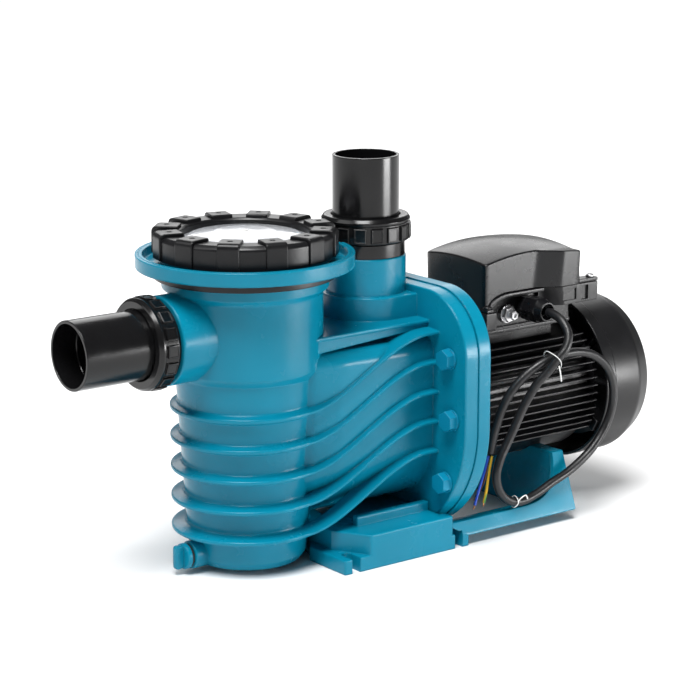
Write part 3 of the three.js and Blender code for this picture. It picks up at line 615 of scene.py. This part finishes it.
def volute():
    rings = []
    for i in range(41):
        x = (FLANGE_X + 1) * i / 40
        half = along_list(x, ((0, 36), (22, 53.5), (34, 59.5), (60, 64.5), (100, 67), (FLANGE_X + 1, 69)))
        bottom = along_list(x, ((0, 44), (14, 42), (60, 38), (FLANGE_X + 1, 37)))
        section = [*arc(0, bottom + half, half, 180, 360, 40), *arc(half - 14, DECK_Z - 30, 14, 0, 90, 8),
                   *arc(14 - half, DECK_Z - 30, 14, 90, 180, 8)]
        draft = 0.001 * (1 - x / FLANGE_X)
        rings.append([(x, y * (1 + draft * (z - 110)), z) for y, z in section])
    return skin(rings)


def side_rib(z, side):
    """Level where it leaves the pot's ring rib, then climbing to the flange in an S."""
    rings = []
    for i in range(33):
        x = 8 + (FLANGE_X - 7) * i / 32
        t = min(1, max(0, (x - 18) / 138))
        middle = z + 57 * t * t * (3 - 2 * t)
        tip = 67 + 11 * i / 32
        section = [(52, -3.8), (62, -2.6), (tip - 1.2, -1.7), (tip - 0.3, -1.1), (tip, 0), (tip - 0.3, 1.1),
                   (tip - 1.2, 1.7), (62, 2.6), (52, 3.8)]
        rings.append([(x, side * y, middle + dz) for y, dz in section])
    return skin(rings)


def deck():
    """The flat top round the discharge boss: a lipped plate over a tapering fascia."""
    lip = prism(rounded([(30, -62), (168, -62), (168, 62), (30, 62)], 3, True), "Z", 214.2, DECK_Z, 1.4)
    fascia = prism([(30, 202), (168, 210.5), (168, 215), (30, 215)], "Y", -60, 60, 0.8)
    boss = rod("Z", 44, 200, 240, (DISCHARGE_X, 0), SIDES, (0, 1.8))
    bridge = block((DISCHARGE_X, FLANGE_X + 2), (-44, 44), (200, 240), 1.6)
    neck = rod("Z", 38, 200, 275, (DISCHARGE_X, 0), SIDES, (0, 1.6))
    return join(lip, fascia, boss, bridge, neck)


def build_housing():
    shell = join(pot_outside(), volute(), *(side_rib(z, s) for z in RIB_HEIGHTS for s in (1, -1)), deck())
    socket = rod("X", 41, -94, -20, (0, SUCTION_Z), SIDES, (1.8, 0))
    flange = cut(prism(flange_outline(0.8), "X", FLANGE_X, SEAM_X + 4, 1.6),
                 block((SEAM_X - 0.1, SEAM_X + 9), (-140, 140), (-10, 260), 0))
    drain = rod("X", 13, -66, -30, (0, DRAIN_Z), FEW, (1.2, 0))
    shell = join(shell, socket, flange, drain)
    shaft_bores = [rod("X", r, low, high, (0, SHAFT_Z)) for r, low, high in
                   ((24, 40, 90), (31, 78, 90), (60, 84, SEAM_X + 1), (75, FLANGE_X + 3, SEAM_X + 1))]
    port_bores = [rod("Z", 27, 150, 260, (DISCHARGE_X, 0)), rod("Z", 31.8, 252, 280, (DISCHARGE_X, 0)),
                  rod("X", 27, -90, -40, (0, SUCTION_Z)), rod("X", 33.8, -100, -78, (0, SUCTION_Z)),
                  rod("X", 7.5, -70, -40, (0, DRAIN_Z))]
    bolt_holes = merged([rod("X", 4.5, FLANGE_X - 5, SEAM_X + 5, p) for p in BOLT_PLACES])
    collar_notch = rod("Z", 46.5, 279, 294, (DISCHARGE_X, 0))
    cut(shell, pot_inside(), *shaft_bores, *port_bores, collar_notch, bolt_holes)
    piece(shell, "pump_housing_shell", "housing", "pump_blue", "pump_housing", "volute_front",
          "discharge_neck", "strainer_pot", "pot_collar", "drain_boss")
    # a dark band round the neck just under the collar: painted shade, standing in for the collar's shadow on
    # the neck
    band = ring("Z", 77, 84.5, 271.7, 279.7, (0, 0), edge=1.0)
    piece(band, "collar_shade_band", "housing", "ring_black")


build_housing()


def build_flange():
    plate = cut(prism(flange_outline(2), "X", SEAM_X - 4, PLATE_END_X, 2.4),
                block((SEAM_X - 9, SEAM_X + 0.3), (-140, 140), (-10, 260), 0),
                rod("X", 12.8, 160, 200, (0, SHAFT_Z)), rod("X", 28, 187, 200, (0, SHAFT_Z)),
                merged([rod("X", 4.5, 170, 191, p) for p in BOLT_PLACES]))
    piece(plate, "seal_plate_casting", "housing", "pump_blue", "seal_plate")
    for i, at in enumerate(BOLT_PLACES):
        head = rod("X", 10, FLANGE_X - 10, FLANGE_X - 1.6, at, 6, (0.9, 0.1), 30, 3)
        collar = rod("X", 10.2, FLANGE_X - 2, FLANGE_X - 0.3, at, edges=(0.4, 0.4), steps=3)
        shank = rod("X", 4, FLANGE_X - 2, 190, at)
        bolt = join(head, collar, shank)
        piece(bolt, f"flange_bolt_{i + 1}_hex", "housing", "bolt_blue", f"flange_bolt_{i + 1}")


build_flange()


# ------------------------------------------------------------------ lid, lock ring and strainer basket
def build_lock_ring():
    wall = turned(rounded([(78.5, 290.5), (83.2, 290.5), (83.2, 310), (79.5, 313.2), (61, 312.8), (59, 310.6),
                           (59, 305.3), (78.5, 305.3)], [0.6, 0.8, 4, 2.5, 2, 1.2, 0.6, 1], True), sides=192)
    profile = rounded([(62.5, 310), (80, 310), (80, 291.5), (84.6, 291.5), (84.6, 316), (61, 316), (60, 312)],
                      [0, 0, 0, 0.8, 6, 2, 1], True, 6)

    def lug():
        body = prism(profile, "Y", -10, 10, 1.1)
        dimple = turned([(0, 315.5), (2.2, 315.5), (2.6, 316.4), (0, 316.4)], "Z", (72, 0), 24)
        bead = torus("Z", (72, 0), 315.6, 3.2, 0.4, 24)
        return merged([cut(body, dimple), bead])
    angles = [30 * i + 15 for i in range(12)]
    lugs = repeat(lug, angles, lambda a: Matrix.Rotation(math.radians(a), 4, "Z"))
    piece(wall, "lock_ring_wall", "lock_ring", "ring_black", "lock_ring")
    piece(lugs, "lock_ring_lugs", "lock_ring", "ring_black")


def build_lid():
    dome = turned(rounded([(0, 304.6), (44, 302.6), (50, 299.8), (76, 299.8), (76, 305), (57.5, 305),
                           (51, 308.8), (28, 311.6), (0, 312.4)],
                          [0, 6, 3, 1, 1, 1.5, 8, 14, 0], steps=6), sides=192)
    piece(dome, "lid_dome", "lid", "clear_lid", "lid")
    seat = turned(rounded([(0, 311.2), (3, 311.2), (3, 313), (0, 313)], [0, 0, 0.8, 0]), sides=32)
    piece(seat, "lid_centre_point", "lid", "white_plastic")
    piece(torus("Z", (0, 0), 298.1, 68, 1.3), "lid_seal", "housing", "rubber", "lid_o_ring")


def build_basket():
    cup = turned(rounded([(0, 28), (46, 28), (52, 186), (54, 190.4), (60.8, 190.4), (60.8, 194), (50.5, 194),
                          (49, 186), (43.5, 31), (0, 31)], [0, 3, 3, 1, 0.8, 0.8, 1, 3, 3, 0]))
    slots = [moved(block((38, 60), (-1.7, 1.7), (z, z + 20), 0), Matrix.Rotation(math.radians(a), 4, "Z"))
             for z in range(42, 170, 26) for a in range(0, 360, 12)]
    holes = [rod("Z", 2, 20, 40, p, 12) for r, n in ((12, 6), (24, 12), (36, 18))
             for p in arc(0, 0, r, 0, 360, n)[:-1]]
    cut(cup, merged(slots), merged(holes))
    handle = tube(smooth_path([(0, -51, 192), (0, -48.5, 215), (0, -44, 233), (0, -32, 238), (0, 0, 238.5),
                               (0, 32, 238), (0, 44, 233), (0, 48.5, 215), (0, 51, 192)], 6), 2.2, 12)
    join(cup, handle)
    piece(cup, "strainer_basket_mesh", "strainer_basket", "basket_plastic", "strainer_basket")


build_lock_ring()
build_lid()
build_basket()


# ------------------------------------------------------------------ pipe unions
def build_union(name, collar, nut_length, pipe_end, socket_r, place):
    """Made along +Z with the housing's mouth at height 0, then turned to its port."""
    thread_end, nut_end = collar + nut_length * 0.42, collar + nut_length
    lip = nut_end - 4.5
    adapter = turned(rounded([(25, -14), (socket_r, -14), (socket_r, 0.3), (37, 0.3), (37, collar),
                              (33, collar), (33, thread_end), (31.8, thread_end), (31.8, thread_end - 3),
                              (28.2, thread_end - 3), (28.2, thread_end), (25, thread_end)], 0.4, True, 2))
    tail = turned(rounded([(28.5, thread_end + 0.3), (35.5, thread_end + 0.3), (35.5, lip - 0.3),
                           (31.5, lip - 0.3), (31.5, pipe_end), (28.5, pipe_end), (28.5, pipe_end - 24),
                           (27.9, pipe_end - 25)], [0.4, 0.4, 0.4, 0.3, 1.0, 0.5, 0.1, 0.1], True, 3))
    front = nut_end - 6.5
    nut = turned(rounded([(37.8, collar + 1.2), (40.6, collar + 1.2), (40.6, front), (41.8, front + 0.8),
                          (42, nut_end - 3.5), (39.6, nut_end), (32.6, nut_end), (32.6, lip), (37.8, lip)],
                         [0.4, 1.2, 0.6, 0.6, 1.6, 1.6, 0.8, 0.4, 0.4], True, 4))
    low, high = collar + 2.6, front - 1.6

    def pad():
        raised = block((38.5, 42.6), (-5.9, 5.9), (low, high), 0.9)
        return cut(raised, block((42.1, 44), (-4.4, 4.4), (low + 1.5, high - 1.5), 0))
    pads = repeat(pad, [22.5 * i for i in range(16)], lambda a: Matrix.Rotation(math.radians(a), 4, "Z"))
    seal = torus("Z", (0, 0), thread_end - 1.4, 30, 1.25)
    body = f"{name}_union_nut"
    piece(moved(adapter, place), f"{name}_adapter_thread", "housing", "union_black", f"{name}_adapter")
    piece(moved(seal, place), f"{name}_face_seal", "housing", "rubber", f"{name}_o_ring")
    piece(moved(tail, place), f"{name}_pipe_stub", f"{name}_tailpiece", "union_black", f"{name}_tailpiece")
    piece(moved(join(nut, pads), place), f"{name}_nut_ribbed", body, "union_black", body)


build_union("suction", 3, 22, 93, 33,
            Matrix.Translation((-94, 0, SUCTION_Z)) @ Matrix.Rotation(-math.pi / 2, 4, "Y"))
build_union("discharge", 13, 25, 94, 31, Matrix.Translation((DISCHARGE_X, 0, 275)))


def build_drain_plug():
    head = turned(rounded([(0, -73.5), (12, -73.5), (12, -69.2), (6.6, -69.2), (6.6, -64.2), (0, -64.2)],
                          [0, 1.2, 0.5, 0.3, 0.6, 0]), "X", (0, DRAIN_Z), FEW)
    wing = prism(rounded([(-82, DRAIN_Z - 12), (-72.5, DRAIN_Z - 10), (-72.5, DRAIN_Z + 10),
                          (-82, DRAIN_Z + 12)], [4.5, 1, 1, 4.5], True, 6), "Y", -3, 3, 1.2)
    piece(join(head, wing), "drain_plug_wing", "drain_plug", "pump_blue", "drain_plug")
    piece(ring("X", 7.6, 11, -68.8, -66.4, (0, DRAIN_Z), FEW, 0.8), "drain_seal", "drain_o_ring", "rubber",
          "drain_o_ring")


build_drain_plug()


# ------------------------------------------------------------------ motor
def build_motor_frame():
    shell = ring("X", 55.5, FRAME_R, 207.3, 372, (0, SHAFT_Z), edge=0.8)

    def fin():
        outline = rounded([(59, -1.6), (FIN_R, -0.9), (FIN_R, 0.9), (59, 1.6)], [0, 0.8, 0.8, 0], True, 3)
        return prism(outline, "X", 207.3, 371, 0.5, 2)
    angles = [-32 + 6 * i for i in range(14)]
    fins = repeat(fin, angles + [180 - a for a in angles],
                  lambda a: Matrix.Translation((0, 0, SHAFT_Z)) @ Matrix.Rotation(math.radians(a), 4, "X"))
    belly = common(ring("X", 60, 68, 210, 366, (0, SHAFT_Z), edge=1.5),
                   block((205, 370), (-54, 54), (SHAFT_Z - 70, SHAFT_Z - 36), 0))
    piece(join(shell, fins, belly), "motor_frame_finned", "housing", "motor_black", "motor_frame")
    bell = turned(rounded([(14, 195.3), (FRAME_R, 195.3), (FRAME_R, 207), (32, 207), (30, 216), (26.4, 216),
                           (26.4, 199), (14, 199)], 0.8, True), "X", (0, SHAFT_Z))
    piece(bell, "front_end_bell_casting", "housing", "motor_black", "front_end_bell")


def cowl_screw_holes():
    return [about_shaft(rod("Y", SCREW_HOLE_R, 66, 90, COWL_SCREW_PLACE, 24), a) for a in COWL_SCREW_ANGLES]


def build_rear():
    bell = turned(rounded([(10.6, 346), (29, 350), (29, 372.5), (60, 372.5), (60, 380), (10.6, 380)],
                          [0.5, 2, 2, 1, 1, 0.5], True), "X", (0, SHAFT_Z))
    ears = [about_shaft(block((373, 389), (50, 79), (-7, 7), 1.2), a) for a in COWL_SCREW_ANGLES]
    cut(join(bell, *ears), rod("X", 23.9, 351, 366.5, (0, SHAFT_Z)), *cowl_screw_holes())
    piece(bell, "rear_end_bell_casting", "housing", "motor_black", "rear_end_bell")

    hub = ring("X", 10.2, 17, 386, 405, (0, SHAFT_Z), FEW)
    plate = ring("X", 12, 65, 402, 405, (0, SHAFT_Z))
    blades = [about_shaft(block((391, 404.8), (14, 66), (-1.3, 1.3), 0.6), a) for a in range(0, 360, 45)]
    fan = cut(join(hub, plate, *blades), rod("X", 10.2, 380, 410, (0, SHAFT_Z)))
    piece(fan, "cooling_fan_blades", "rotor", "inner_plastic", "cooling_fan")


def build_cowl():
    shell = turned(rounded([(0, 437.5), (72, 437.5), (80, 420), (80.5, 376), (83, 376), (83, 388),
                            (82.6, 389), (82.5, 421), (74, 440), (66, 440), (66, 439.2), (64.5, 439.2),
                            (64.5, 440), (0, 440)],
                           [0, 3, 8, 0.6, 0.8, 0.4, 0.4, 14, 5, 0.2, 0.2, 0.2, 0.2, 0], steps=6),
                   "X", (0, SHAFT_Z), 192)
    slot = rounded([(24, -2.6), (62, -2.6), (62, 2.6), (24, 2.6)], 2.4, True)
    slots = [about_shaft(prism(slot, "X", 430, 445, 0), 36 * i) for i in range(10)]
    cut(shell, merged(slots), *cowl_screw_holes())
    piece(shell, "fan_cowl_shell", "housing", "motor_black", "fan_cowl")
    for i, a in enumerate(COWL_SCREW_ANGLES):
        head = turned(rounded([(0, 83.3), (4, 83.3), (4, 84.4), (2.4, 85.3), (0, 85.3)],
                              [0, 0.2, 0.8, 0.6, 0]), "Y", COWL_SCREW_PLACE, 32)
        cross = [block((381, 389), (84.7, 86), (-0.5, 0.5), 0), block((384.5, 385.5), (84.7, 86), (-4, 4), 0)]
        cut(head, *cross)
        screw = about_shaft(join(head, rod("Y", 2, 72, 83.6, COWL_SCREW_PLACE, 24)), a)
        piece(screw, f"cowl_screw_{i + 1}_cross", "housing", "steel", f"cowl_screw_{i + 1}")


build_motor_frame()
build_rear()
build_cowl()


# ------------------------------------------------------------------ terminal box
BOX_PLAN = [(248, -45), (312, -45), (336, -58), (360, -58), (360, 45), (248, 45)]
TUB_PLAN = [(248, -45), (320, -45), (336, -58), (360, -58), (360, 45), (248, 45)]
LOWER_PLAN = [(248, -45), (360, -45), (360, 45), (248, 45)]
BOX_CENTRE = Vector((306, -4))
BOX_POINTS = 160                             # round each of the box's walls
COVER_LOW, COVER_EDGE = 211.3, 226.3         # lower edge of the cover: at the pump end, and along the sides
FRONT_TAB_TOP, REAR_TAB_TOP = 214.5, 230
COVER_SCREWS = (((246, -51), FRONT_TAB_TOP), ((378, -51), REAR_TAB_TOP), ((368, 38), REAR_TAB_TOP))


def box_outline(amount, plan=BOX_PLAN):
    """The box's plan moved inwards, its corners rounded, with points close enough to follow the dome."""
    outline = rounded(inset(plan, amount), 3.0, True, 5)
    dense = []
    for a, b in zip(outline, outline[1:] + outline[:1]):
        a, b = Vector(a), Vector(b)
        steps = max(1, int((b - a).length / 4))
        dense += [a.lerp(b, k / steps) for k in range(steps)]
    return dense


def dome(p):
    t = (p.x - 308) / 62
    return 263 - (8 if t < 0 else 5) * t * t + (5.4 - 2 * t * t) * max(0, 1 - (p.y / 45) ** 2)


def cover_foot(p):
    """Height of the cover's lower edge, which sweeps up from the pump end in a quarter of an ellipse."""
    t = min(1, max(0, (p.x - 251) / 26))
    return COVER_LOW + (COVER_EDGE - COVER_LOW) * math.sqrt(1 - (1 - t) ** 2)


def cover_rings(amount, edge, drop):
    """Rings from the lower edge, up the wall, over a rounded edge and in to the dome's middle."""
    rings = [[(p.x, p.y, cover_foot(p)) for p in box_outline(amount)]]
    for k in range(5):
        t = math.pi / 2 * k / 4
        ring_points = box_outline(amount + edge * (1 - math.cos(t)))
        rings.append([(p.x, p.y, dome(p) - drop - edge * (1 - math.sin(t))) for p in ring_points])
    top = box_outline(amount + edge)
    for k in range(1, 13):
        share = 1 - k / 12.5
        scaled = [BOX_CENTRE + (p - BOX_CENTRE) * share for p in top]
        rings.append([(p.x, p.y, dome(p) - drop) for p in scaled])
    return rings


def resampled(ring_points):
    """The same closed loop with its points evenly along its length."""
    pts = [Vector(p) for p in ring_points]
    lengths = [(b - a).length for a, b in zip(pts, pts[1:] + pts[:1])]
    total, out, i, run = sum(lengths), [], 0, 0.0
    for k in range(BOX_POINTS):
        target = total * k / BOX_POINTS
        while run + lengths[i] < target - 1e-9:
            run += lengths[i]
            i += 1
        u = 0 if lengths[i] == 0 else (target - run) / lengths[i]
        out.append(pts[i].lerp(pts[(i + 1) % len(pts)], u))
    return out


def build_terminal_box():
    outer = [resampled(r) for r in cover_rings(0.0, 1.6, 0.0)]
    inner = [resampled(r) for r in cover_rings(3.0, 1.0, 3.0)]
    cover = skin([*reversed(inner), *outer])
    tabs = [((242, 250), (-56, -42), COVER_LOW), ((358, 384), (-57, -45), COVER_EDGE),
            ((358, 374), (32, 44), COVER_EDGE)]
    for (xs, ys, low), (screw, top) in zip(tabs, COVER_SCREWS):
        join(cover, cut(block(xs, ys, (low, top), 0.9), rod("Z", SCREW_HOLE_R, 190, 240, screw, 24)))
    piece(cover, "terminal_box_cover_domed", "housing", "box_black", "terminal_box_cover", smooth=28)


def build_terminal_tub():
    """The lower half: a tub under the cover's edge, with panels sunk in its side and three screw ears."""
    def walls(plan, foot, outer, inner):
        def loop(amount, height=None):
            points = box_outline(amount, plan)
            return resampled([(p.x, p.y, cover_foot(p) - 0.8 if height is None else height) for p in points])
        return skin([loop(outer, foot), loop(outer), loop(inner), loop(inner, foot + 4)])
    tub, bulge = walls(LOWER_PLAN, 187, 1.0, 7.4), walls(TUB_PLAN, 207.4, 1.0, 4.6)
    hollow = prism(inset(LOWER_PLAN, 7.4), "Z", 192, 240, 0)
    edge = [(x, cover_foot(Vector((x, 0))) - 5.4) for x in (252.6, 254, 256, 259, 263, 267, 272, 277)]
    arch = [(x + 2.5, z) for x, z in edge]
    bulge_panel = rounded([(338.5, 211), (356.5, 211), (356.5, 222.4), (338.5, 222.4)], 0.8, True)
    sunk = [prism([(arch[0][0], 192.4), *arch, (317, arch[-1][1]), (317, 192.4)], "Y", -60, -39.9, 0),
            prism(bulge_panel, "Y", -70, -55.4, 0)]
    rim = prism(rounded(inset(LOWER_PLAN, 0.3), 3, True), "Z", 186.6, 190.2, 0.8)
    band = prism([(x, z + 4.6) for x, z in edge] + [(322, edge[-1][1] + 4.6), (322, edge[-1][1] + 0.6)]
                 + [(x, z + 0.6) for x, z in reversed(arch)], "Y", -47.6, -42, 1.2)
    ears = [block((241, 254), (-56, -40), (194, 211), 1.2), block((355, 384), (-57, -45), (207, 226), 1.2),
            block((355, 374), (32, 44), (207, 226), 1.2)]
    pedestal = block((262, 346), (-32, 32), (165, 190), 1.5)
    cut(join(tub, bulge), hollow, *sunk)
    join(tub, rim, band, *ears, pedestal)
    cut(tub, rod("X", FRAME_R + 0.3, 200, 400, (0, SHAFT_Z), SIDES), rod("Z", 20, 180, 230, (330, 0)),
        rod("Y", 10.2, -60, -30, GLAND), rod("Y", 3.3, -60, -30, EARTH_BOLT),
        *(rod("Z", SCREW_HOLE_R, 196, 230, at, 24) for at, _ in COVER_SCREWS),
        block((362, 371), (-58, -54.6), (209.5, 223.5), 0.3))
    piece(tub, "terminal_box_tub", "housing", "box_black", "terminal_box_base", smooth=28)


def build_box_hardware():
    for i, (at, top) in enumerate(COVER_SCREWS):
        head = turned(rounded([(0, top + 0.3), (4, top + 0.3), (4, top + 1.9), (2.6, top + 3), (0, top + 3)],
                              [0, 0.2, 0.8, 0.8, 0]), "Z", at, 48)
        cross = [block((at[0] - a, at[0] + a), (at[1] - b, at[1] + b), (top + 1.9, top + 4), 0)
                 for a, b in ((2.4, 0.45), (0.45, 2.4))]
        screw = join(cut(head, *cross), rod("Z", 2, top - 13, top + 1, at, 24))
        slot = "steel" if i else "motor_black"
        piece(screw, f"cover_screw_{i + 1}_cross", "housing", slot, f"cover_screw_{i + 1}")

    gland = join(ring("Y", 6, 9.8, -44, -34, GLAND, FEW), rod("Y", 12.5, -48, -42, GLAND, 6, (0.9, 0.6)),
                 rod("Y", 10.5, -58, -47, GLAND))
    cut(gland, rod("Y", 6, -60, -30, GLAND))
    piece(gland, "cable_gland_body", "housing", "box_black", "cable_gland")
    cone = turned(rounded([(0, -74), (9.4, -74), (11.2, -66), (11.2, -60), (0, -60)], [0, 0.7, 1, 0, 0]),
                  "Y", GLAND, FEW)
    mouth = turned([(0, -75), (8.0, -75), (7.2, -66), (0, -66)], "Y", GLAND, FEW)
    nut = cut(join(rod("Y", 13, -66, -48.3, GLAND, 6, (1.6, 1.2)), cone), rod("Y", 11, -58.4, -48, GLAND),
              rod("Y", 4.9, -80, -50, GLAND), mouth)
    piece(nut, "gland_nut_hexagon", "housing", "box_black", "gland_nut")

    washer = ring("Y", 2, 9, -43.2, -39.4, EARTH_BOLT, FEW, 0.4)
    nut = rod("Y", 8, -47.6, -43, EARTH_BOLT, 6, (1.1, 0.3), 12)
    head = rod("Y", 4.6, -54, -49, EARTH_BOLT, 6, (0.9, 0.3), 20)
    socket = rod("Y", 2.2, -55, -52, EARTH_BOLT, 6)
    bolt = cut(join(washer, nut, rod("Y", 3, -50, -34, EARTH_BOLT), head), socket)
    piece(bolt, "earth_bolt_hexagon", "housing", "steel", "earth_bolt", smooth=25)


build_terminal_box()
build_terminal_tub()
build_box_hardware()


# ------------------------------------------------------------------ base
FOOT_SLOT_XS = (55, 177)
FOOT_SLOT_R = 4.75
FOOT_SLOT_Y = 80              # the slots' round inner end


def mirrored(outline):
    """The outline as it is, and reflected in the pump's middle plane."""
    return [outline, [(-y, z) for y, z in outline]]


def build_base():
    foot = prism(rounded([(42, -95), (190, -95), (190, 95), (42, 95)], 2.5, True), "Z", 0, 14, 1.3)
    front = prism(rounded([(52, -60), (72, -95), (170, -95), (170, 95), (72, 95), (52, 60)],
                          [2, 4, 2.5, 2.5, 4, 2], True), "Z", 0, 33, 1.5)
    rails = [block((78, 163.5), ys, (30, 42), 1.6) for ys in ((-66, -58), (58, 66))]
    skirts = [prism(rounded(side, [0, 0.8, 2, 1.2, 0], True), "X", 186, 326, 1.2)
              for side in mirrored([(90, 10.2), (90, 14.2), (67, 17), (62, 17), (62, 10.2)])]
    saddle = prism(rounded([(-95, 10.2), (-94, 14), (-74, 66), (74, 66), (94, 14), (95, 10.2), (50, 10.2),
                            (50, 0), (-50, 0), (-50, 10.2)],
                           [0, 3, 4, 4, 3, 0, 1, 1, 1, 1], True), "X", 312, 326, 1.4)
    # each side plate leans inwards, low along the motor and swept up to the saddle behind it
    a, b, c, d = (Vector(p) for p in ((262, 24), (302, 24.5), (309, 42), (312, 66)))
    rise = [tuple(a * (1 - t) ** 3 + b * 3 * t * (1 - t) ** 2 + c * 3 * t * t * (1 - t) + d * t ** 3)
            for t in (k / 14 for k in range(15))]
    outline = [(167, 22.5), (167, 24), *rise, (327, 66), (327, 10), (189, 10)]
    section = [(95, 10.2), (95, 12.2), (74.2, 65.8), (69.2, 65.8), (88, 17), (88, 10.2)]
    plates = [common(prism(side, "X", 168, 326, 0.8), prism(outline, "Y", -100, 100, 0))
              for side in mirrored(section)]
    beyond = [(95.2, 13.6), (110, 13.6), (110, 80), (74.2, 66.5)]
    leaning = [prism(side, "X", 250, 330, 0) for side in mirrored(beyond)]
    slots = []
    for x in FOOT_SLOT_XS:
        for side in (-1, 1):
            ys = sorted((side * FOOT_SLOT_Y, side * 100))
            slots += [block((x - FOOT_SLOT_R, x + FOOT_SLOT_R), ys, (-1, 16), 0),
                      rod("Z", FOOT_SLOT_R, -1, 16, (x, side * FOOT_SLOT_Y))]
    body = join(foot, front, *rails, *skirts, saddle, *plates)
    cut(body, *leaning, rod("Z", 58, -1, 40, (0, 0), SIDES),
        rod("X", 120, FLANGE_X - 2, PLATE_END_X + 2, (0, SHAFT_Z), SIDES),
        rod("X", 68.4, 300, 340, (0, SHAFT_Z), SIDES), block((80, 104), (-40, 40), (-1, 20), 0),
        block((128, 158), (-40, 40), (-1, 20), 0), *slots)
    piece(body, "base_moulding", "housing", "pump_blue", "base", "base_rear")


build_base()

# ------------------------------------------------------------------ everything the CAD shows as it is
slot_of = {part["node"]: part["material_slot"] for part in frame["record"]["subparts"]}
for name, node in frame["nodes"].items():
    for holder in node.material_slots:
        holder.link = "OBJECT"
        holder.material = LOOKS[slot_of[name]]


# ------------------------------------------------------------------ floor, light
AROUND_STRENGTH = 0.13        # the white surroundings as they light the pump
BEHIND_STRENGTH = 1.02        # the same surroundings as the camera sees them
SUN_ENERGY = 3.9
# Soft boxes: azimuth from the camera's, elevation, distance, width and height, power, point aimed at.
SOFT_BOXES = {
    "left": (-68, 40, 1.9, (1.2, 1.2), 9, (0, 0, 0.15)),
    "right": (74, 1, 1.7, (0.8, 0.28), 17, (0.12, 0, 0.15)),
    "back": (180, 29, 2.6, (2.4, 1.4), 25, (0, 0, 0.15)),
}


def soft_box(name, turn, elevation, distance, size, power, aim):
    lamp = bpy.data.lights.new(name, "AREA")
    lamp.shape, lamp.size, lamp.size_y = "RECTANGLE", *size
    lamp.energy = power
    azimuth = CAMERA_TURN + turn
    aimed(name, lamp, azimuth, elevation, Vector(aim) + direction(azimuth, elevation) * distance)


def build_stage():
    floor = solid([(-6, -6, 0), (6, -6, 0), (6, 6, 0), (-6, 6, 0)], [(0, 1, 2, 3)])
    floor.name = "studio_floor"
    floor_look = Look("studio_floor", 0.7).mottled((0.9, 0.9, 0.9), 0.01, 2.0)
    floor.data.materials.append(floor_look.material)
    world = bpy.data.worlds.new("studio")
    bpy.context.scene.world = world
    world.use_nodes = True
    nodes, links = world.node_tree.nodes, world.node_tree.links
    around = nodes["Background"]
    around.inputs["Color"].default_value = (1, 1, 1, 1)
    around.inputs["Strength"].default_value = AROUND_STRENGTH
    behind = nodes.new("ShaderNodeBackground")
    behind.inputs["Strength"].default_value = BEHIND_STRENGTH
    seen, either = nodes.new("ShaderNodeLightPath"), nodes.new("ShaderNodeMixShader")
    links.new(seen.outputs["Is Camera Ray"], either.inputs["Fac"])
    links.new(around.outputs[0], either.inputs[1])
    links.new(behind.outputs[0], either.inputs[2])
    links.new(either.outputs[0], nodes["World Output"].inputs["Surface"])

    sky = bpy.data.lights.new("sky", "SUN")
    sky.energy, sky.angle = SUN_ENERGY, math.radians(30)
    aimed("sky", sky, CAMERA_TURN - 12, 68)
    for name, settings in SOFT_BOXES.items():
        soft_box(name, *settings)
    bpy.context.scene.view_settings.view_transform = "Standard"


build_stage()
